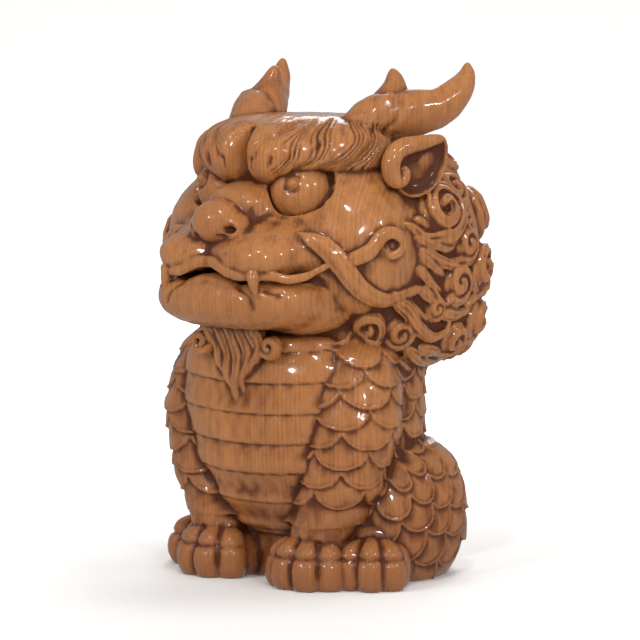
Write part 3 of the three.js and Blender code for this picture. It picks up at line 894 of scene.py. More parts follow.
@dataclass
class Mane(CarvedPart):
    """Snail curls and locks round the side and back of the head. A curl's own sizes are shares of
    its radius.

    Attributes:
        head: that the hair lies on.
        snails, locks: on the left side.
        middle: curls down the middle of the back.
        rim, winding: radius of the winding at its rim, and by how much it falls to the middle.
        half, narrower: half width of the lock at the rim, and by how much it falls.
        lift, cone: how far the lock stands over the head at the rim, and how much more inside.
        dome, sunk: radius of the dome under the lock, and the share taken off the dome's height.
            Its middle lies as far under the head's skin as the lift.
        groove: depth between strands, as a share of a lock's thickness.
    """

    head: Head
    snails: tuple[Snail, ...] = (
        Snail((52.3, 14.5, 142.4), 12.2, -1.9, 1.75, ((55, -9, 139.5), (54.5, -4, 136.5), (53.8, 2, 133))),
        Snail((48.8, 27, 149.5), 8.0, -1.7, 1.5, ((52, 21, 134), (50, 32, 138))),
        Snail((54.5, 27.5, 129), 7.4, -2.0, 1.5, ((56, -4, 131.5), (55.5, 4, 126.5), (55, 14, 122.5))),
        Snail((55.3, 21.5, 114.4), 8.2, -2.2, 1.5, ((55, -2, 125), (55, 4, 118), (54.5, 12, 107.5))),
        Snail((47.3, -4.1, 97), 6.6, -2.6, 1.5, ((34, -23, 96), (40, -14, 90.5), (45, -7, 88.5))),
        Snail((41.1, -15.2, 99.6), 7.9, -2.6, 1.5, ((26, -29, 101), (31, -26, 95.5), (37, -20.5, 92))),
        Snail((49, 25, 93), 7.6, -2.0, 1.4, ((50, 4, 91), (50, 12, 85.5))),
        Snail((53.5, 9.3, 105.8), 5.2, -2.0, 1.4),
        Snail((46, 35, 121), 10.4, -1.6, 1.5, ((52, 24, 102.5), (51, 29, 108))),
        Snail((45, 36, 102), 9.6, -1.8, 1.4, ((50, 25, 86), (48, 31, 90))),
        Snail((36, 43, 138), 11.8, -1.4, 1.5),
        Snail((35, 46, 115), 11.8, -1.8, 1.5),
        Snail((34, 45, 92), 10.6, -1.8, 1.5),
        Snail((36, 36, 158), 10.8, -1.2, 1.5),
        Snail((19, 48, 151), 11.8, -1.2, 1.5),
        Snail((19, 52, 127), 12.2, -1.6, 1.5),
        Snail((19, 52, 104), 11.8, -1.8, 1.5),
        Snail((18, 48, 84), 10.0, -1.8, 1.4),
        Snail((17, 40, 167), 10.8, -1.0, 1.5),
    )
    middle: tuple[Snail, ...] = (
        Snail((0, 53, 139), 11.4, -1.6, 1.5),
        Snail((0, 54, 116), 11.4, -1.6, 1.5),
        Snail((0, 52, 94), 10.8, -1.6, 1.5),
        Snail((0, 47, 160), 11, -1.6, 1.5),
    )
    locks: tuple[Lock, ...] = (
        Lock(
            ((51, -12, 110), (50.7, -4.5, 106), (50.9, 1.3, 99.4), (51.5, 10, 94.7), (52.9, 17, 97), (54.2, 16.8, 104)),
            3.6, 4, 1.2,
        ),
        Lock(((52.5, -6, 108.5), (53.5, 0, 104.5), (54, 6, 101)), 2.4, 3),
        Lock(((54, -1, 129), (55, 10, 123.5), (55, 22, 121), (52, 32, 123.5), (49, 39, 129)), 2.9, 3),
        Lock(((54, 12, 104), (55, 22, 102), (53, 32, 104)), 3.6, 4),
        Lock(((54.5, -4, 134), (55, 6, 130.5), (54.5, 16, 127.8), (54, 21, 131)), 2.8, 3),
        Lock(((55, -1.5, 127.5), (55.5, 8, 121), (55.3, 14, 117.5)), 2.8, 3),
        Lock(((53.5, 0, 114), (54, 7, 109), (54.5, 13, 106.5)), 2.8, 3),
        Lock(((54, 8, 134), (54, 18, 131.5), (53, 27, 137), (50, 31, 143)), 3.0, 3),
        Lock(((50, -14, 113), (52, -8, 110), (53.5, -2, 109)), 2.6, 3),
        Lock(((48, 6, 90.5), (48.5, 15, 88.5), (47.5, 23, 86)), 3.6, 4),
        Lock(((54.5, -2, 121.5), (55.5, 6, 115), (55, 12, 112)), 2.6, 3),
        Lock(((47, 0, 91), (46, 10, 85), (45, 19, 81.5), (43, 28, 81)), 3.6, 4),
        Lock(((44, -2, 87), (43, 10, 79.5), (40, 22, 77), (34, 33, 77)), 3.4, 4),
        Lock(((35, -20, 92), (39, -12, 85), (42, -3, 84)), 3.0, 3),
        Lock(((55.4, -1, 140.5), (54.6, 4, 137.6), (53.6, 10, 134.5)), 2.2, 2),
        Lock(((52, 24, 139), (51, 28, 134), (51, 33, 131)), 3.0, 3),
        Lock(((52, 27, 118), (51, 31, 113), (50, 36, 111)), 3.0, 3),
        Lock(((48, 22, 158), (46, 28, 160), (42, 33, 165)), 3.2, 3),
        Lock(((51, 10, 152), (50, 17, 154), (48, 23, 156)), 2.8, 3),
    )

    rim: float = 0.88
    winding: float = 0.78
    half: float = 0.33
    narrower: float = 0.11
    lift: float = 0.06
    cone: float = 0.30
    dome: float = 0.92
    sunk: float = 0.68
    groove: float = 0.34

    def skins(self) -> list[Skin]:
        """All curls and locks on both sides, and the row down the middle of the back.

        Returns:
            The surfaces.
        """
        bare = self.head.bare()
        made = [skin for s in self.snails for skin in self.snail(bare, s)]
        made += [self.lock(bare, k) for k in self.locks]
        return both(made) + [skin for s in self.middle for skin in self.snail(bare, s)]

    def snail(self, field: Field, s: Snail) -> list[Skin]:
        """The winding is a spiral whose radius falls evenly with its angle, laid on the head and
        raised towards the middle as a cone. The lock's section is an oval that narrows inwards.
        A low dome fills the head under it.

        Args:
            field: the bare head.
            s: the curl.

        Returns:
            The lock and the dome.
        """
        foot = self.head.onto(field, np.array([s.place]))[0]
        normal = outward(field, foot[None], 4.0)[0]
        right = unit(np.cross(UP, normal))
        up = np.cross(normal, right)
        t = np.linspace(0, 1, 150)
        angle = s.start + t * s.turns * TURN
        r = s.radius * (self.rim - self.winding * t)
        turn = foot + right * (r * np.cos(angle))[:, None] + up * (r * np.sin(angle))[:, None]
        turn = self.head.onto(field, turn) + normal * (s.radius * (self.lift + self.cone * t**1.3))[:, None]
        wide = s.radius * (self.half - self.narrower * t) * np.where(t > 0.5, both_ends(t, 20), 1)
        if s.tail:
            tail = self.head.onto(field, s.tail)
            lead = curve(np.concatenate([tail, turn[:12:4]]), 60)[:-12]
            path = np.concatenate([lead, turn[2:]])
            grow = np.linspace(0, 1, len(lead))
            wide = np.concatenate([wide[0] * (0.3 + 0.7 * grow**0.7) * blunt(1 - grow, 8), wide[2:]])
        else:
            path = turn
            wide = wide * np.sqrt(np.minimum(1, 12 * t))
        path = relaxed_path(path, 3)
        coil = swept(path, normal, wide, wide * 1.1, 44, s.strands, self.groove)
        dome = lump(tuple(foot - normal * s.radius * self.lift), (s.radius * self.dome,) * 3, 0, 2, 60)
        dome.points = foot + (dome.points - foot) - np.outer((dome.points - foot) @ normal * self.sunk, normal)
        return [coil, dome]

    def lock(self, field: Field, k: Lock, steps: int = 90) -> Skin:
        """An oval section along a path on the head, thinning to its end.

        Args:
            field: the bare head.
            k: the lock.
            steps: sections along it.

        Returns:
            The surface.
        """
        t = np.linspace(0, 1, steps)
        path = self.head.onto(field, curve(k.points, steps))
        normal = outward(field, path, 3.0)
        wide = k.width * (1 - (1 - k.thin) * t**1.6) * both_ends(t, 6)
        return swept(path + normal * k.lift, normal, wide, wide * 0.95, 44, k.strands, self.groove)


@dataclass
class Whiskers(CarvedPart):
    """The moustache, and the crook on the cheek that branches from it.

    Attributes:
        head: that they lie on.
        moustache, crook: middle lines on the left side.
        moustache_thick, crook_thick: half thickness at even places along them.
        lift: how far a middle line stands over the skin.
        groove: depth between strands, as a share of the half thickness.
    """

    head: Head
    moustache: tuple[Point, ...] = (
        (30, -42, 136), (33.8, -38.8, 133), (38.3, -35.2, 130), (42, -32.7, 125.2), (44.7, -30, 120.3),
        (46.6, -26.9, 115.8), (48.5, -21.6, 112.2), (49.6, -15.8, 110.6), (51, -9.4, 111.2), (52.8, -1.1, 113.4),
        (53.5, 4.1, 113.5), (54.6, 11.2, 110.3),
    )
    moustache_thick: tuple[float, ...] = (1.0, 2.8, 3.8, 4.0, 3.9, 3.8, 3.6, 3.3, 2.9, 2.2, 1.5, 0.6)
    crook: tuple[Point, ...] = (
        (43, -32, 125.6), (47.3, -28.6, 127.0), (50.5, -25.2, 129.4), (51.7, -22.3, 133), (52.8, -18.6, 135.4),
        (54, -14.1, 134.8), (54.6, -11.9, 131.6), (54.8, -14.2, 128), (53.8, -18.2, 127.4), (53.1, -20.1, 129.2),
    )
    crook_thick: tuple[float, ...] = (2.4, 3.0, 3.0, 2.8, 2.7, 2.6, 2.4, 2.1, 1.7, 1.3)
    lift: float = 0.3
    groove: float = 0.17

    def skins(self) -> list[Skin]:
        """Oval sections carried over the skin of the face, with strands along them.

        Returns:
            Moustaches and crooks.
        """
        field = self.head.form()
        made = []
        for points, thick, strands in ((self.moustache, self.moustache_thick, 3), (self.crook, self.crook_thick, 2)):
            t = np.linspace(0, 1, 130)
            path = self.head.onto(field, curve(points, len(t)))
            path = curve(path[::10], len(t))
            wide = spaced(thick, t) * both_ends(t, 14)
            normal = outward(field, path, 3.0)
            made.append(swept(path + normal * self.lift, normal, wide * 1.12, wide * 0.8, 40, strands, self.groove))
        return both(made)

    def cuts(self) -> list[Cut]:
        """The hollow inside the crook."""
        return [Cut(((52.8, -20.4, 131.4), (53.6, -18, 132), (54.2, -16, 131.4)), 2.4, 1.6, 1.0)]


@dataclass
class Mouth(CarvedPart):
    """A raised band round the upper lip in an M, a lower lip edge, fangs at the front corners.

    Attributes:
        upper, lower: left half of each band's middle line.
        upper_half, lower_half: half width and half height of each band.
        fang, fang_half: middle line of the left fang, and its half thickness at the root.
    """

    upper: tuple[Point, ...] = (
        (0, -59.2, 124.8), (4, -60, 124.5), (8, -60.4, 123), (13, -60.2, 121), (17, -59.2, 120.5),
        (21.5, -57, 120.6), (27, -53.5, 120.4), (31.5, -49.2, 119.2), (34.5, -44, 119.8), (37, -39.5, 122),
        (40, -35.5, 124.6), (42, -33, 127),
    )
    upper_half: tuple[float, float] = (1.35, 2.2)
    lower: tuple[Point, ...] = (
        (0, -55.6, 116.4), (5, -56, 115.8), (10, -56, 114.4), (15, -55, 112.6), (19, -52, 110),
    )
    lower_half: tuple[float, float] = (4.2, 4.0)
    fang: tuple[Point, ...] = ((20.8, -56.5, 122.5), (22, -58.4, 117.5), (23.4, -57.6, 111.5))
    fang_half: float = 2.9

    def skins(self) -> list[Skin]:
        """Each band is one sweep from side to side through its half and the half's mirror image.

        Returns:
            Both bands and the fangs.
        """
        made = []
        for half, (wide, high) in ((self.upper, self.upper_half), (self.lower, self.lower_half)):
            h = np.array(half)
            path = curve(np.concatenate([flipped(h[:0:-1]), h]), 260)
            t = np.linspace(-1, 1, 260)
            ends = (1 - 0.6 * np.abs(t) ** 2.5) * both_ends(np.linspace(0, 1, 260), 16)
            made.append(swept(path, UP, wide * ends, high * ends, 32))
        t = np.linspace(0, 1, 40)
        thick = self.fang_half * (1 - t**1.7)
        fang = swept(curve(self.fang, 40), (0, 1, 0), thick, thick, 28)
        return made + both([fang])


@dataclass
class Beard(CarvedPart):
    """Wavy locks under the chin that lie down the chest and draw together, with a scroll each side.

    Attributes:
        locks_each_side: besides the middle one.
        spacing: from lock to lock at the chin.
        length: of the middle lock.
        shorter: how much shorter each lock is than the one inside it.
        lock_half, flatness: half width at the root, and half height over half width.
        scroll_x, scroll_z, scroll_turns: the left scroll's middle and winding.
        stem: middle line of the stem that it hangs from.
    """

    locks_each_side: int = 2
    spacing: float = 4.9
    length: float = 35
    shorter: float = 6.0
    lock_half: float = 4.0
    flatness: float = 0.62
    scroll_x: float = 17.2
    scroll_z: float = 92.6
    scroll_turns: float = 1.3
    stem: tuple[Point, ...] = ((12.2, -47, 103), (12.1, -44.9, 99), (12.4, -43.1, 95), (12.6, -42.8, 92))

    def skins(self) -> list[Skin]:
        """Locks at even spacing over a low bed, each shorter than the one inside it, and the
        scrolls.

        Returns:
            The surfaces.
        """
        made = []
        t = np.linspace(0, 1, 70)
        wide = self.lock_half * (1 - t**2.6)
        for n in range(-self.locks_each_side, self.locks_each_side + 1):
            x, long = n * self.spacing, self.length - self.shorter * abs(n)
            points = (
                (x * 1.05, -50, 105), (x * 1.05, -45.8, 98), (x * 1.0 + 1.5, -43.4, 101 - long * 0.4),
                (x * 0.75 - 1.0, -42.8, 102 - long * 0.75), (x * 0.45 + 1.2, -42.2, 101.5 - long),
            )
            made.append(swept(curve(points, 70), (0, -1, 0.25), wide, wide * self.flatness, 48, 4, 0.3))
        made.append(lump((0, -41.5, 93), (12, 3.4, 15)))
        return made + both(self.scroll())

    def scroll(self) -> list[Skin]:
        """A spiral whose radius falls evenly with its angle, the stem it hangs from, and a low
        button that fills it.

        Returns:
            The three surfaces.
        """
        t, s = np.linspace(0, 1, 70), np.linspace(0, 1, 40)
        turn, r = TURN * self.scroll_turns * t, 4.6 - 4.2 * t
        path = np.stack([self.scroll_x - r * np.cos(turn), -42.8 - 1.2 * t, self.scroll_z - r * np.sin(turn)], -1)
        thick = (1.8 - 0.3 * t) * both_ends(t, 10)
        return [
            swept(path, (0, -1, 0), thick, thick * 1.5, 28, 2, 0.2),
            swept(curve(self.stem, 40), (0, -1, 0), 1.9 * both_ends(s), 2.7 * both_ends(s), 24, 2, 0.2),
            lump((self.scroll_x, -41.4, self.scroll_z), (4.2, 2.2, 4.2)),
        ]


# Body


@dataclass(frozen=True)
class Scales:
    """Rows of overlapping scales. The rim of row k lies at first + k pitch, less depth times one
    less the half round of the place across a tongue. Between two rims the height grows as a power
    of the way down, and drops to nothing at the rim.

    Attributes:
        count: scales round.
        first: way down to the first rim.
        pitch: row to row.
        rows: number of rows.
        depth: of a tongue.
        rise: height of a rim.
        bead, moat: height of the thin bead along a rim and depth of the groove inside it, as
            shares of the rise.
    """

    count: int
    first: float
    pitch: float
    rows: int
    depth: float
    rise: float
    bead: float = 0.3
    moat: float = 0.22

    def height(self, a: Array, s: Array) -> Array:
        """Height over the bare form.

        Args:
            a: angle round.
            s: way down, in the same shape.

        Returns:
            The height at each place.
        """
        total = np.zeros_like(s)
        above = np.full_like(s, self.first - 1.6 * self.pitch)
        for k in range(self.rows):
            across = ((a / TURN * self.count + (k % 2) / 2) % 1) * 2 - 1
            bend = 1 - np.sqrt(np.maximum(0, 1 - np.abs(across) ** 2.1))
            rim = self.first + k * self.pitch - self.depth * bend
            t = np.clip((s - above) / np.maximum(rim - above, 0.2 * self.pitch), 0, 1)
            gap = (rim - s) / self.pitch
            lip = self.bead * np.exp(-(((gap - 0.05) / 0.05) ** 2))
            lip = lip - self.moat * np.exp(-(((gap - 0.17) / 0.06) ** 2))
            inside = (s > above) & (s <= rim)
            tile = 0.75 * t**1.2 + 0.3 * np.sqrt(np.maximum(0, 1 - across**2)) * t * (1.3 - t)
            total = np.where(inside, self.rise * (tile + lip * t), total)
            above = np.maximum(above, rim)
        return total


@dataclass
class Torso(CarvedPart):
    """Chest, shoulders and front legs in one skin with scales, the belly plates and the seat.

    Attributes:
        top: where the skin starts, and all tables of the legs and belly go by height.
        scales: on legs, sides and back.
        leg_x, leg_y, leg_r: middle line of the left leg and its radius.
        trunk: its middle line's y, half width, half depth and squareness.
        seat, neck: forms at the trunk's foot and top.
        plate_pitch: height of a belly plate.
        plate_step: how far its lower edge stands proud.
        plate_up: from the belly's lower end to the first edge.
        plate_sag: how much higher an edge lies at the sides than in the middle.
        line_depth: of the thin line under an edge.
        belly_low, belly_top: heights between which the belly lies.
        belly_centre: y of the upright line that its sections go round.
        belly_front, belly_width: how far ahead of y = 0 it reaches, and its half width.
    """

    top: float = 104
    scales: Scales = Scales(17, 11.5, 7.6, 9, 8.4, 1.35)
    leg_x: Table = ((0, 24), (18, 25), (30, 28.5), (40, 32.5), (62, 36), (84, 34), (104, 26))
    leg_y: Table = ((0, -24), (18, -23), (30, -21), (40, -19.5), (62, -17), (84, -14), (104, -8))
    leg_r: Table = ((0, 11.5), (18, 12.6), (30, 13.6), (40, 15.4), (62, 17.5), (76, 17.5), (86, 15), (104, 9))
    trunk: tuple[float, float, float, float] = (4, 43, 34, 2.4)
    seat: OvalSizes = ((0, 8, 14), (40, 30, 34), 3, 0)
    neck: tuple[Point, Point] = ((0, -13, 100), (31, 25, 12))
    plate_pitch: float = 11.6
    plate_step: float = 1.0
    plate_up: float = 2.3
    plate_sag: float = 2.6
    line_depth: float = 0.55
    belly_low: float = 17.5
    belly_top: float = 102
    belly_centre: float = -8
    belly_front: Table = ((17, 25.5), (23, 31), (33, 36.5), (49, 42), (65, 43.2), (80, 42.4), (94, 39), (102, 14))
    belly_width: Table = ((17, 12), (23, 18.3), (33, 25.5), (49, 34.6), (70, 41), (85, 41), (94, 36), (102, 8))

    def body(self) -> Field:
        """The trunk, an upright oblong column, blended with both front legs, round at each height.

        Returns:
            The field.
        """
        middle, wide, deep, square = self.trunk

        def trunk(p: Array) -> Array:
            """Share of the reach past 1, times the half depth."""
            across = np.abs(p[..., 0] / wide) ** square + np.abs((p[..., 1] - middle) / deep) ** square
            return (across ** (1 / square) - 1) * deep

        def leg(p: Array) -> Array:
            """Level distance from the leg's middle line, less its radius."""
            z = p[..., 2]
            gap = np.hypot(np.abs(p[..., 0]) - along(self.leg_x, z), p[..., 1] - along(self.leg_y, z))
            return gap - along(self.leg_r, z)

        return blended(5, trunk, leg)

    def skins(self) -> list[Skin]:
        """The skin by angle round and way down, with scales that leave the belly bare, and with
        it the ankles, the seat, the neck and the belly.

        Returns:
            The surfaces.
        """
        field = self.body()
        a, s = np.meshgrid(around(620), np.linspace(0, 80, 190))
        origin = np.stack([0 * a, 0 * a, self.top - s], -1)
        ray = np.stack([np.sin(a), -np.cos(a), 0 * a], -1)
        skin = exits(field, origin, ray)
        bare = eased(np.minimum(a, TURN - a), 0.42, 0.6)
        skin = skin + outward(field, skin) * (self.scales.height(a, s) * bare)[..., None]
        grid = np.concatenate([origin[:1], skin, origin[-1:]])
        seat = shell(oval(*self.seat), self.seat[0], 200, 120)
        return [closed(grid), *both([self.ankle()]), seat, lump(*self.neck), self.belly()]

    def ankle(self) -> Skin:
        """Round sections down the lower leg, from the paw up into the body.

        Returns:
            The left ankle.
        """
        a, z = np.meshgrid(around(90), np.linspace(3, 40, 60))
        r = along(self.leg_r, z) - 0.5
        r[[0, -1]] = 0
        x, y = along(self.leg_x, z), along(self.leg_y, z)
        return closed(np.stack([x + r * np.sin(a), y - r * np.cos(a), z], -1))

    def belly(self) -> Skin:
        """Rounded-oblong sections by height, deeper to the front than to the back. Each plate
        stands proud at its lower edge by a falling power of the way up it, over a thin line.

        Returns:
            The belly.
        """
        a, z = np.meshgrid(around(460) - np.pi, np.linspace(self.belly_low, self.belly_top, 360))
        c, s = np.cos(a), np.abs(np.sin(a))
        sag = self.plate_sag * eased(z, 20, 40) * s**2
        up = ((z - self.belly_low - self.plate_up - sag) / self.plate_pitch) % 1
        round_edge = 1 - np.maximum(0, 1 - up / 0.07) ** 2
        line = self.line_depth * np.exp(-(((up - 0.985) / 0.03) ** 2))
        step = self.plate_step * (1.1 - 0.8 * s**2) * ((1 - up) ** 1.5 * round_edge - 0.45) - line
        w = along(self.belly_width, z)
        d = np.where(c > 0, along(self.belly_front, z) + self.belly_centre, 10)
        r = ((s / w) ** 3 + (np.abs(c) / d) ** 3) ** (-1 / 3) + step
        r[[0, -1]] = 0
        return closed(np.stack([r * np.sin(a), self.belly_centre - r * c, z], -1))


@dataclass
class Haunches(CarvedPart):
    """A big round thigh each side, with scales that point down and back from the knee.

    Attributes:
        centre, radii, square: of the left thigh.
        knee: direction from its centre to the knee.
        scales: rows by the angle down from the knee.
        shin: middle and radii of the lower leg.
    """

    centre: Point = (34, 15, 23)
    radii: Point = (20, 29, 31)
    knee: Point = (0.1, -0.55, 0.85)
    square: float = 2.2
    scales: Scales = Scales(8, 0.62, 0.34, 6, 0.38, 1.5)
    shin: tuple[Point, Point] = ((35, -5, 14), (13.5, 14, 15))

    def skins(self) -> list[Skin]:
        """The thigh's skin by angle round the knee's axis and angle down from it, and the shin.

        Returns:
            Both sides' surfaces.
        """
        field = oval(self.centre, self.radii, self.square)
        a, s = np.meshgrid(around(420), np.linspace(0, np.pi, 300))
        z = unit(np.array(self.knee))
        x = unit(np.cross(np.array([0, 1, 0]), z))
        y = np.cross(z, x)
        ray = (
            x * (np.sin(s) * np.sin(a))[..., None] - y * (np.sin(s) * np.cos(a))[..., None] + z * np.cos(s)[..., None]
        )
        skin = exits(field, np.array(self.centre, float), ray)
        skin = skin + outward(field, skin) * self.scales.height(a, s)[..., None]
        skin[[0, -1]] = skin[[0, -1]].mean(1, keepdims=True)
        return both([closed(skin), lump(*self.shin)])


@dataclass
class Tail(CarvedPart):
    """A plain tuft of three locks against the back.

    Attributes:
        locks: how far each leans to the side, its length and its half width.
        root: height of their roots.
        depth: half depth at the roots.
    """

    locks: tuple[Point, ...] = ((0, 56, 7.5), (10, 42, 6), (-10, 42, 6))
    root: float = 12
    depth: float = 6

    def skins(self) -> list[Skin]:
        """Flat oval locks that swell and close by a sine of the way along.

        Returns:
            The surfaces.
        """
        made = []
        t = np.linspace(0, 1, 70)
        for lean, long, wide in self.locks:
            points = (
                (0, 34, self.root), (lean * 0.6, 41, self.root + long * 0.3),
                (lean, 40, self.root + long * 0.7), (lean * 0.7, 36, self.root + long),
            )
            wide = wide * np.sin(np.pi * (0.15 + 0.85 * t))
            made.append(swept(curve(points, 70), (0, 1, 0), wide, self.depth * (1 - 0.5 * t), 60, 5, 0.2))
        return made


@dataclass(frozen=True)
class Paw:
    """One paw.

    Attributes:
        centre: on the floor.
        facing: angle from straight ahead.
        fan: angle from its middle to its outermost toe.
        reach: from its centre to its toe ends.
        height: of its back.
        toes: number of toes.
    """

    centre: Point
    facing: float
    fan: float
    reach: float
    height: float
    toes: int


@dataclass
class Paws(CarvedPart):
    """Front and hind paws, each with a heel and toes of two round joints.

    Attributes:
        paws: the left front paw and the left hind paw.
        joints: for the upper and the lower joint of a toe, how far out and how high its middle
            lies, its half length and half height, all as shares of the paw, and its squareness.
        toe_half: half width of a toe as a share of the width that it has for itself.
        spread: of the toes, as a share of the fan.
        shorter: how much the outermost place is shorter than the middle one.
        groove: places along the groove between two toes, as shares of reach and height.
    """

    paws: tuple[Paw, ...] = (
        Paw((22.8, -22, 0), 0.1, 1.08, 21.2, 20, 4),
        Paw((39, -9, 0), 0.62, 0.8, 20.6, 19.5, 3),
    )
    joints: tuple[tuple[float, ...], ...] = ((0.40, 0.62, 0.52, 0.38, 2.2), (0.65, 0.34, 0.36, 0.42, 2.3))
    toe_half: float = 1.12
    spread: float = 1.1
    shorter: float = 0.10
    groove: Table = ((0.94, 0.06), (0.95, 0.34), (0.9, 0.62), (0.82, 0.8), (0.6, 0.95), (0.35, 1))

    def skins(self) -> list[Skin]:
        """All four paws."""
        return both([skin for p in self.paws for skin in self.paw(p)])

    def paw(self, p: Paw) -> list[Skin]:
        """A heel block, and for each toe an upper and a lower joint, egg-shaped and close enough
        to leave a narrow groove between them.

        Args:
            p: the paw.

        Returns:
            The surfaces.
        """
        x, y, _ = p.centre
        wide = p.reach * p.fan / p.toes
        made = [
            lump((x, y, p.height * 0.36), (p.reach * 0.72, p.reach * 0.66, p.height * 0.6), p.facing, 2.6),
            lump((x, y, p.height * 0.6), (p.reach * 0.62, p.reach * 0.62, p.height * 0.4), p.facing, 2.2),
        ]
        for n in range(p.toes):
            a, short = self.toe(p, n + 0.5)
            for far, high, along_toe, up, square in self.joints:
                r = p.reach * far * short
                place = (x + r * math.sin(a), y - r * math.cos(a), p.height * high * short)
                made.append(lump(place, (wide * self.toe_half, p.reach * along_toe, p.height * up), a, square))
        return made

    def toe(self, p: Paw, n: float) -> tuple[float, float]:
        """Where a toe or the groove beside it lies.

        Args:
            p: the paw.
            n: how many toes lie before it, with a half for a toe's middle.

        Returns:
            Its angle from straight ahead, and its length as a share of the middle one's.
        """
        side = 2 * n / p.toes - 1
        return p.facing + p.fan * side * self.spread, 1 - self.shorter * abs(side)

    def cuts(self) -> list[Cut]:
        """A crease across each toe between its joints, rounded as the upper joint is, and a groove
        between each two toes.

        Returns:
            The cuts.
        """
        made = []
        for p in self.paws:
            half = p.reach * p.fan / p.toes * self.toe_half
            for n in range(p.toes):
                a, short = self.toe(p, n + 0.5)
                crease = [
                    (u * half, 0.40 + 0.53 * (1 - abs(u) ** 2.2) ** 0.45, 0.645 * short)
                    for u in (-0.75, -0.4, 0, 0.4, 0.75)
                ]
                made.append(Cut(self.placed(p, a, crease, short), 1.5, 0.9))
            for n in range(1, p.toes):
                groove = [(0, r, z) for r, z in self.groove]
                made.append(Cut(self.placed(p, self.toe(p, n)[0], groove, 0.97), 2.0, 1.1))
        return made

    def placed(self, p: Paw, a: float, line: list[Point], short: float) -> tuple[Point, ...]:
        """Carries a line to its place on a paw.

        Args:
            p: the paw.
            a: the direction that the line's middle looks, from straight ahead.
            line: millimetres to the side, share of the reach and share of the height.
            short: by which the reach is multiplied.

        Returns:
            The points, in millimetres.
        """
        x, y, _ = p.centre
        c, s = math.cos(a), math.sin(a)
        return tuple(
            (x + u * c + r * p.reach * short * s, y + u * s - r * p.reach * short * c, z * p.height) for u, r, z in line
        )


# Putting the carving together


def mesh_of(name: str, skin: Skin) -> bpy.types.Mesh:
    """A Blender mesh from points and triangles.

    Args:
        name: the mesh's name.
        skin: the surface.

    Returns:
        The mesh.
    """
    mesh = bpy.data.meshes.new(name)
    mesh.vertices.add(len(skin.points))
    mesh.vertices.foreach_set("co", np.ascontiguousarray(skin.points, np.float32).ravel())
    mesh.loops.add(3 * len(skin.triangles))
    mesh.loops.foreach_set("vertex_index", np.ascontiguousarray(skin.triangles, np.int32).ravel())
    mesh.polygons.add(len(skin.triangles))
    mesh.polygons.foreach_set("loop_start", np.arange(0, 3 * len(skin.triangles), 3, dtype=np.int32))
    mesh.update(calc_edges=True)
    return mesh


def through(skin: Skin, kind: str, settings: dict[str, object]) -> Skin:
    """A surface after one modifier.

    Args:
        skin: the surface.
        kind: the modifier's type.
        settings: its properties.

    Returns:
        The surface that comes out, as triangles.
    """
    made = bpy.data.objects.new("work", mesh_of("work", skin))
    bpy.context.scene.collection.objects.link(made)
    modifier = made.modifiers.new("work", kind)
    for key, value in settings.items():
        setattr(modifier, key, value)
    out = made.evaluated_get(bpy.context.evaluated_depsgraph_get()).to_mesh()
    points = np.empty(3 * len(out.vertices), np.float32)
    out.vertices.foreach_get("co", points)
    out.calc_loop_triangles()
    triangles = np.empty(3 * len(out.loop_triangles), np.int32)
    out.loop_triangles.foreach_get("vertices", triangles)
    mesh = made.data
    bpy.data.objects.remove(made)
    bpy.data.meshes.remove(mesh)
    return Skin(points.reshape(-1, 3).astype(float), triangles.reshape(-1, 3))


def joined(skins: list[Skin]) -> Skin:
    """Several surfaces as one list of points and triangles.

    Args:
        skins: the surfaces.

    Returns:
        One surface, its parts not yet joined.
    """
    starts = np.cumsum([0] + [len(s.points) for s in skins[:-1]])
    return Skin(
        np.concatenate([s.points for s in skins]),
        np.concatenate([s.triangles + n for s, n in zip(skins, starts)]),
    )


def normals_of(skin: Skin) -> Array:
    """Outward directions at the points: the sum of the cross products of the triangles round each.

    Args:
        skin: the surface.

    Returns:
        Unit vectors, (n, 3).
    """
    a, b, c = (skin.points[skin.triangles[:, k]] for k in range(3))
    face = np.cross(b - a, c - a)
    total = np.stack(
        [sum(np.bincount(skin.triangles[:, k], face[:, m], len(skin.points)) for k in range(3)) for m in range(3)], -1
    )
    return unit(total)


def relaxed(skin: Skin, values: Array, rounds: int, share: float = 0.5) -> Array:
    """Values at the points drawn towards the mean of their neighbours.

    Args:
        skin: the surface.
        values: (n, k) values at its points.
        rounds: how many times.
        share: of the way to the mean each time.

    Returns:
        The smoothed values.
    """
    t = skin.triangles
    i = np.concatenate([t[:, 0], t[:, 1], t[:, 2]])
    j = np.concatenate([t[:, 1], t[:, 2], t[:, 0]])
    n = len(skin.points)
    degree = np.maximum(np.bincount(i, minlength=n), 1)[:, None]
    for _ in range(rounds):
        mean = np.stack([np.bincount(i, values[j, k], n) for k in range(values.shape[1])], -1) / degree
        values = values + share * (mean - values)
    return values


def largest(skin: Skin) -> Skin:
    """Only the biggest connected part: each point takes the lowest label round it until none
    changes, jumping along the labels each time.

    Args:
        skin: the surface.

    Returns:
        The part with the most points.
    """
    n = len(skin.points)
    label = np.arange(n)
    while True:
        low = label[skin.triangles].min(1)
        new = label.copy()
        for k in range(3):
            np.minimum.at(new, skin.triangles[:, k], low)
        new = new[new]
        if (new == label).all():
            break
        label = new
    keep = label == np.bincount(label).argmax()
    index = np.cumsum(keep) - 1
    return Skin(skin.points[keep], index[skin.triangles[keep[skin.triangles[:, 0]]]])


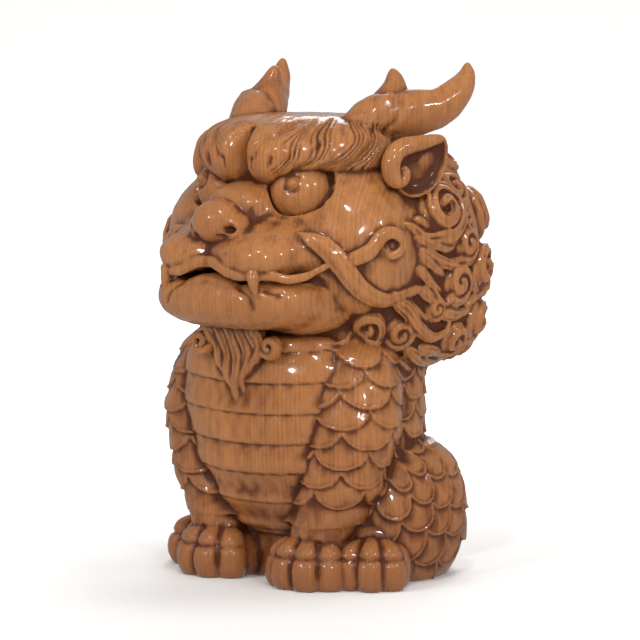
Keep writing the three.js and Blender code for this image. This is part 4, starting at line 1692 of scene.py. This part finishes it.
@dataclass
class Carving:
    """The whole figure: forms, fine cuts and the finished mesh.

    Attributes:
        voxel: grid size at which the forms are made one skin.
        triangles: at most, in the finished mesh.
        tool_mark: height of the gouge marks.
        back: how far the forms lie behind their place in the solids' frame.
        near_rounds, far_rounds: rounds of smoothing that tell fine recesses and wide ones.
        fine, wide: for each of these, the depth at which a recess starts to count, the depth past
            that at which it counts in full, and its share.
        ridge: height at which an edge counts in full.
    """

    voxel: float = 0.44
    quick_voxel: float = 1.8
    triangles: int = 190_000
    tool_mark: float = 0.1
    back: float = 0.22
    near_rounds: int = 6
    far_rounds: int = 50
    fine: tuple[float, float, float] = (0.03, 0.08, 0.8)
    wide: tuple[float, float, float] = (0.38, 2.2, 0.6)
    ridge: float = 0.14

    def skins(self) -> tuple[list[Skin], list[Cut]]:
        """All forms and all cuts.

        Returns:
            The surfaces, and the cuts to press into them.
        """
        head = Head()
        parts: list[CarvedPart] = [
            head, Brows(), Horns(), Ears(), Mane(head), Whiskers(head), Mouth(), Beard(),
            Torso(), Haunches(), Tail(), Paws(),
        ]
        forms: list[Skin] = []
        cuts: list[Cut] = []
        for part in parts:
            made = part.skins()
            forms += made
            cuts += part.cuts()
            log.info("%s: %d surfaces", type(part).__name__.lower(), len(made))
        return forms, cuts

    def build(self) -> bpy.types.Object:
        """Lays the forms together, makes them one skin, presses the cuts in and thins the mesh.

        Returns:
            The finished object, in metres at its place.
        """
        forms, cuts = self.skins()
        voxel = self.voxel * 1
        skin = through(joined(forms), "REMESH", {"mode": "VOXEL", "voxel_size": voxel, "adaptivity": 0.0})
        log.info("one skin: %d triangles", len(skin.triangles))
        skin.points = relaxed(skin, skin.points, 1)
        normals = normals_of(skin)
        push = sum(cut.push(skin.points) for cut in cuts)
        push = push + Brows().push(skin.points) + self.marks(skin.points)
        skin.points = skin.points + normals * push[:, None]
        ratio = min(1.0, self.triangles / len(skin.triangles))
        skin = largest(through(skin, "DECIMATE", {"ratio": ratio}))
        skin.points = self.fitted(skin.points)
        log.info("finished skin: %d triangles", len(skin.triangles))
        return self.dressed(skin)

    def marks(self, p: Array) -> Array:
        """Shallow gouge marks left by the knife: products of slow sines, each bent by another.

        Args:
            p: the skin's points, (n, 3).

        Returns:
            Movement along the normals, (n,).
        """
        x, y, z = p.T
        a = np.sin(0.9 * x + 0.5 * np.sin(0.31 * z)) * np.sin(0.55 * z + 0.8 * np.sin(0.23 * y))
        b = np.sin(0.8 * y + 0.6 * np.sin(0.27 * x)) * np.sin(0.47 * z + 1.3)
        return self.tool_mark * (a + b)

    def fitted(self, p: Array) -> Array:
        """Moves the points to the solids' frame: the underside is cut flat on the floor, and the
        box of the solids limits every side.

        Args:
            p: the skin's points, (n, 3).

        Returns:
            The points in their place.
        """
        low, high = (np.array(c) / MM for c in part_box(NODE))
        return np.clip(p - np.array([0, self.back, 0]), low, high)

    def dressed(self, skin: Skin) -> bpy.types.Object:
        """Makes the Blender object and its attributes: hollow, from 0 on open skin to 1 in a
        recess, and edge, from 0 to 1 on a ridge. Both are how far a smoothed copy of the skin
        lies outside or inside the skin itself.

        Args:
            skin: the finished skin in millimetres.

        Returns:
            The object, riding on the root body and standing for the solid.
        """
        normal = normals_of(skin)
        near = relaxed(skin, skin.points, self.near_rounds)
        far = relaxed(skin, near, self.far_rounds)
        bend_near, bend_far = (((smooth - skin.points) * normal).sum(1) for smooth in (near, far))
        hollow = 0
        for bend, (start, span, share) in ((bend_far, self.wide), (bend_near, self.fine)):
            hollow = hollow + np.clip((bend - start) / span, 0, 1) * share
        hollow = relaxed(skin, np.clip(hollow, 0, 1)[:, None], 1)[:, 0]
        edge = np.clip(-bend_near / self.ridge, 0, 1)
        mesh = mesh_of(NODE + "_carving", Skin(skin.points * MM, skin.triangles))
        for name, values in (("hollow", hollow), ("edge", edge)):
            mesh.attributes.new(name, "FLOAT", "POINT").data.foreach_set("value", values.astype(np.float32))
        mesh.polygons.foreach_set("use_smooth", np.ones(len(mesh.polygons), bool))
        made = bpy.data.objects.new(NODE + "_carving", mesh)
        bpy.context.scene.collection.objects.link(made)
        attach(made, "root")
        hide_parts(NODE)
        return made


# Materials


class Wire:
    """A socket with arithmetic: an expression on sockets adds the Math nodes for it."""

    def __init__(self, tree: "Tree", socket: bpy.types.NodeSocket) -> None:
        """Keeps the tree and the socket."""
        self.tree, self.socket = tree, socket

    def math(self, operation: str, *values: object) -> "Wire":
        """One Math node on wires or numbers."""
        return self.tree.add("ShaderNodeMath", {"operation": operation}, dict(enumerate(values)))

    def __add__(self, other: object) -> "Wire":
        """Sum."""
        return self.math("ADD", self, other)

    def __sub__(self, other: object) -> "Wire":
        """Difference."""
        return self.math("SUBTRACT", self, other)

    def __rsub__(self, other: object) -> "Wire":
        """Difference with a number first."""
        return self.math("SUBTRACT", other, self)

    def __mul__(self, other: object) -> "Wire":
        """Product."""
        return self.math("MULTIPLY", self, other)

    def __pow__(self, other: object) -> "Wire":
        """Power."""
        return self.math("POWER", self, other)

    __radd__, __rmul__ = __add__, __mul__

    def eased(self, low: float, high: float) -> "Wire":
        """0 below low and 1 above high, eased between."""
        settings = {"interpolation_type": "SMOOTHSTEP"}
        return self.tree.add("ShaderNodeMapRange", settings, {"Value": self, "From Min": low, "From Max": high})

    def sine(self) -> "Wire":
        """Sine."""
        return self.math("SINE", self)


class Tree:
    """A material's node tree and the one method that adds nodes to it."""

    def __init__(self, name: str) -> None:
        """Makes a material with an empty tree.

        Args:
            name: the material's name.
        """
        self.material = bpy.data.materials.new(name)
        self.material.use_nodes = True
        self.nodes = self.material.node_tree.nodes
        self.links = self.material.node_tree.links
        self.nodes.clear()

    def add(self, kind: str, settings: dict[str, object], inputs: dict[object, object], output: object = 0) -> Wire:
        """Adds a node.

        Args:
            kind: the node's type.
            settings: its properties, set first.
            inputs: values or wires by socket name or number.
            output: the socket that the wire leaves from.

        Returns:
            A wire from that socket.
        """
        node = self.nodes.new(kind)
        for key, value in settings.items():
            setattr(node, key, value)
        for key, value in inputs.items():
            socket = node.inputs[key]
            if isinstance(value, Wire):
                self.links.new(value.socket, socket)
            else:
                socket.default_value = value
        return Wire(self, node.outputs[output] if node.outputs else None)

    def apart(self, vector: Wire) -> tuple[Wire, Wire, Wire]:
        """A vector's three parts."""
        first = self.add("ShaderNodeSeparateXYZ", {}, {"Vector": vector})
        return tuple(Wire(self, socket) for socket in first.socket.node.outputs)

    def noise(self, place: Wire, drawn: Point, scale: float, detail: float) -> Wire:
        """Noise at a scale per metre, drawn out along an axis where drawn is under 1."""
        settings = {"Vector": self.add("ShaderNodeMapping", {}, {"Vector": place, "Scale": drawn})}
        return self.add("ShaderNodeTexNoise", {}, settings | {"Scale": scale, "Detail": detail})

    def mix(self, share: object, a: object, b: object) -> Wire:
        """Mixes two colours.

        Args:
            share: of the second.
            a: the first, a wire or a colour of three numbers.
            b: the second.

        Returns:
            The mixed colour.
        """
        first, second = ((*c, 1) if isinstance(c, tuple) else c for c in (a, b))
        return self.add("ShaderNodeMix", {"data_type": "RGBA"}, {0: share, 6: first, 7: second}, 2)


@dataclass(frozen=True)
class Grain:
    """A mask of noise drawn out along the grain.

    Attributes:
        drawn: scale along the grain as a share of the scale across it.
        scale: of the noise, per metre.
        detail: of the noise.
        low, high: noise at which the mask starts and at which it is full.
    """

    drawn: float
    scale: float
    detail: float
    low: float
    high: float

    def mask(self, tree: Tree, place: Wire) -> Wire:
        """The mask at a place, from 0 to 1."""
        return tree.noise(place, (1, 1, self.drawn), self.scale, self.detail).eased(self.low, self.high)


@dataclass(frozen=True)
class LacqueredWood:
    """Straight-grained hardwood under clear gloss lacquer.

    Attributes:
        light: earlywood colour on open skin.
        warm: redder wood that lies in clouds, and the colour that the painted shade low down takes.
        dark: latewood lines and pores.
        deep: painted shade in recesses, the dark that shade leaves in the carving's hollows.
        worn: light edges.
        ring: growth ring spacing in metres.
        axis: how far the middle of the trunk lies to the figure's right and ahead, in metres.
        tilt: how far it lies further right and further back with each metre of height.
        wander: range through which slow noise shifts the rings, in metres.
        broad: rings from one dark band to the next.
        uneven: where the rings show more and less.
        pores, streaks, clouds, flecks: masks of the colours.
        cloud_share and the others: how much of the colour that each mask can take.
        shade: heights in metres at which the painted shade low down is darkest and at which it ends; it is partly
            painted shade, for less light reaching the lower part, and partly lacquer gathered there.
        rough, rough_hollow: roughness on open skin, and how much more in a recess.
        coat, coat_hollow: weight of the gloss on open skin, and how much less in a recess.
    """

    light: tuple[float, float, float] = (0.37, 0.140, 0.042)
    warm: tuple[float, float, float] = (0.19, 0.054, 0.017)
    dark: tuple[float, float, float] = (0.09, 0.029, 0.010)
    deep: tuple[float, float, float] = (0.058, 0.0125, 0.004)
    worn: tuple[float, float, float] = (0.52, 0.23, 0.08)
    ring: float = 0.0017
    axis: tuple[float, float] = (0.15, 0.125)
    tilt: tuple[float, float] = (0.015, 0.01)
    wander: float = 0.011
    broad: float = 4.3
    uneven: Grain = Grain(0.05, 60.0, 2.0, 0.35, 0.65)
    pores: Grain = Grain(0.04, 1700.0, 2.0, 0.60, 0.72)
    streaks: Grain = Grain(0.025, 380.0, 3.0, 0.42, 0.70)
    clouds: Grain = Grain(0.5, 22.0, 4.0, 0.40, 0.66)
    flecks: Grain = Grain(0.35, 90.0, 4.0, 0.46, 0.66)
    cloud_share: float = 0.42
    fleck_share: float = 0.14
    low_shade_share: float = 0.8
    late_share: float = 0.46
    streak_share: float = 0.36
    pore_share: float = 0.5
    recess_shade_share: float = 0.92
    edge_share: float = 0.25
    shade: tuple[float, float] = (0.005, 0.05)
    rough: float = 0.27
    rough_hollow: float = 0.2
    coat: float = 0.75
    coat_hollow: float = 0.6

    def material(self) -> bpy.types.Material:
        """Rings are a sine of the distance from a tilted vertical axis beside the figure, bent a
        little by slow noise. Pores and streaks are noise drawn out along the grain. All read
        Object coordinates.

        Returns:
            The material.
        """
        tree = Tree("lacquered_wood")
        place = tree.add("ShaderNodeTexCoord", {}, {}, "Object")
        x, y, z = tree.apart(place)
        off = tree.noise(place, (1, 1, 0.12), 16.0, 3.0) - 0.5
        across = x + self.axis[0] + z * self.tilt[0]
        ahead = y + self.axis[1] - z * self.tilt[1]
        radius = (across * across + ahead * ahead) ** 0.5 + off * self.wander
        wave = (radius * (TURN / self.ring)).sine()
        uneven = self.uneven.mask(tree, place)
        slow = (radius * (TURN / (self.ring * self.broad))).sine()
        late = (wave * 0.5 + 0.5) ** 4.0 * (uneven * 0.75 + 0.25) * (slow * 0.35 + 0.65)
        pores, streaks, clouds, flecks = (
            grain.mask(tree, place) for grain in (self.pores, self.streaks, self.clouds, self.flecks)
        )
        hollow = tree.add("ShaderNodeAttribute", {"attribute_name": "hollow"}, {}, "Fac")
        edge = tree.add("ShaderNodeAttribute", {"attribute_name": "edge"}, {}, "Fac")
        # painted shade low down, partly lacquer gathered there: the lower part darkens towards the warm colour
        low = 1 - z.eased(*self.shade)
        colour = tree.mix(clouds * self.cloud_share + flecks * self.fleck_share, self.light, self.warm)
        for mask, share, tint in (
            (low, self.low_shade_share, self.warm),
            (late, self.late_share, self.dark),
            (streaks, self.streak_share, self.dark),
            (pores, self.pore_share, self.dark),
            # painted shade in recesses: where the skin is hollow it darkens towards the deep colour
            (hollow.eased(0.04, 0.9), self.recess_shade_share, self.deep),
            (edge, self.edge_share, self.worn),
        ):
            colour = tree.mix(mask * share, colour, tint)
        relief = 1 - pores * 0.6 - late * 0.25 + tree.noise(place, (1, 1, 1), 320.0, 2.0) * 0.7
        bump = tree.add("ShaderNodeBump", {}, {"Strength": 0.4, "Distance": 0.0005, "Height": relief})
        shader = tree.add(
            "ShaderNodeBsdfPrincipled",
            {},
            {
                "Base Color": colour,
                "Roughness": hollow * self.rough_hollow + self.rough,
                "Normal": bump,
                "Coat Weight": self.coat - hollow * self.coat_hollow,
                "Coat Roughness": 0.09,
                "Coat IOR": 1.5,
                "Specular IOR Level": 0.2,
            },
        )
        tree.add("ShaderNodeOutputMaterial", {}, {"Surface": shader})
        return tree.material


@dataclass(frozen=True)
class PaleFloor:
    """Matt, nearly white."""

    colour: tuple[float, float, float] = (0.88, 0.87, 0.855)
    rough: float = 0.75

    def material(self) -> bpy.types.Material:
        """A plain matt surface.

        Returns:
            The material.
        """
        tree = Tree("pale_floor")
        shader = tree.add("ShaderNodeBsdfPrincipled", {}, {"Base Color": (*self.colour, 1), "Roughness": self.rough})
        tree.add("ShaderNodeOutputMaterial", {}, {"Surface": shader})
        return tree.material


# Studio


class Lamp(Enum):
    """The studio's lamps: place and aim in metres, size in metres, power in watts, and whether
    the lacquer mirrors it."""

    KEY = ((-0.35, -0.85, 0.95), (0, 0, 0.1), 0.35, 3.8, False)
    FILL = ((1.0, -0.45, 0.5), (0, 0, 0.1), 0.6, 3.4, False)
    TOP = ((0.15, 0.3, 1.1), (0, 0, 0.1), 0.4, 3.4, False)
    REAR = ((-0.5, 0.9, 0.7), (0, 0, 0.1), 0.5, 2.2, True)
    BACKDROP = ((-0.45, 0.55, 1.0), (-1.1, 1.35, 0.1), 0.8, 25.0, False)
    GLINT_LEFT = ((-0.05, -1.05, 0.6), (0, 0, 0.1), 0.075, 2.4, True)
    GLINT_RIGHT = ((0.95, -0.55, 0.65), (0, 0, 0.1), 0.075, 2.2, True)
    GLINT_HIGH = ((0.35, -0.5, 1.15), (0, 0, 0.1), 0.075, 2.4, True)
    GLINT_SIDE = ((1.1, 0.15, 0.8), (0, 0, 0.1), 0.075, 1.6, True)


@dataclass
class Studio:
    """Floor, lamps, surroundings and the camera.

    Attributes:
        azimuth: of the camera, in degrees from straight ahead of the figure to its left.
        elevation: of the camera, in degrees.
        distance: from the target.
        target: what it looks at.
        scale: metres to a pixel at the target.
        aside: how far the camera is moved to its right.
        frame_px: width of the picture.
        sensor: width of the camera's sensor in millimetres.
        far: distance past which the camera sees nothing.
        flat: radius of the floor's flat part.
        cove: radius of the bend at its rim.
        floor_columns: points round the floor.
        world_light: strength of the light from all round.
    """

    azimuth: float = 40.0
    elevation: float = 6.0
    distance: float = 1.3
    target: Point = (0, 0, 0.098)
    scale: float = 0.000388
    aside: float = 0.00388
    frame_px: int = 640
    sensor: float = 36
    far: float = 20
    flat: float = 1.55
    cove: float = 1.3
    floor_columns: int = 96
    world_light: float = 0.3

    def build(self) -> None:
        """Makes everything round the object."""
        self.floor()
        for lamp in Lamp:
            self.lamp(lamp)
        world = bpy.data.worlds.new("studio")
        bpy.context.scene.world = world
        world.use_nodes = True
        background = world.node_tree.nodes["Background"]
        background.inputs["Color"].default_value = (1, 1, 1, 1)
        background.inputs["Strength"].default_value = self.world_light
        bpy.context.scene.view_settings.view_transform = "Standard"
        self.camera()

    def floor(self) -> None:
        """A round sheet, flat under the object, that curves up at its rim: the rim's profile is a
        quarter circle carried round the vertical."""
        t = np.linspace(0, np.pi / 2, 24)
        out = np.concatenate([[0], self.flat + self.cove * np.sin(t)])
        rise = np.concatenate([[0], self.cove * (1 - np.cos(t))])
        a = around(self.floor_columns)
        grid = np.stack([np.outer(out, np.cos(a)), np.outer(out, np.sin(a)), np.outer(rise, np.ones(len(a)))], -1)
        skin = closed(grid[::-1])
        keep = (skin.triangles // len(a)).max(1) < len(out)
        made = bpy.data.objects.new("floor", mesh_of("floor", Skin(skin.points, skin.triangles[keep])))
        made.data.polygons.foreach_set("use_smooth", np.ones(len(made.data.polygons), bool))
        made.data.materials.append(PaleFloor().material())
        made.visible_glossy = False
        bpy.context.scene.collection.objects.link(made)

    def lamp(self, lamp: Lamp) -> None:
        """An area lamp that points at its aim.

        Args:
            lamp: which one.
        """
        place, aim, size, power, mirrored_there = lamp.value
        data = bpy.data.lights.new(lamp.name.lower(), "AREA")
        data.size, data.energy = size, power
        made = bpy.data.objects.new(lamp.name.lower(), data)
        made.location = place
        made.visible_glossy = mirrored_there
        made.rotation_euler = (Vector(aim) - Vector(place)).to_track_quat("-Z", "Y").to_euler()
        bpy.context.scene.collection.objects.link(made)

    def camera(self) -> None:
        """Looks at the target from its azimuth and elevation. The lens gives the scale of a
        picture frame_px wide at the target's distance."""
        a, e = math.radians(self.azimuth), math.radians(self.elevation)
        back = Vector((math.sin(a) * math.cos(e), -math.cos(a) * math.cos(e), math.sin(e)))
        right = Vector((math.cos(a), math.sin(a), 0))
        data = bpy.data.cameras.new("camera")
        data.sensor_width = self.sensor
        data.lens = self.sensor * self.distance / (self.scale * self.frame_px)
        data.clip_end = self.far
        made = bpy.data.objects.new("camera", data)
        made.location = Vector(self.target) + back * self.distance + right * self.aside
        made.rotation_euler = (-back).to_track_quat("-Z", "Y").to_euler()
        bpy.context.scene.collection.objects.link(made)
        bpy.context.scene.camera = made


def main() -> None:
    """Builds the studio and the figure, and gives the figure its material."""
    logging.basicConfig(level=logging.INFO, format="%(message)s")
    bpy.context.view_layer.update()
    Studio().build()
    log.info("studio: built")
    figure = Carving().build()
    figure.data.materials.append(LacqueredWood().material())
    log.info("%s: %d triangles", figure.name, len(figure.data.polygons))


if __name__ == "__main__":
    main()
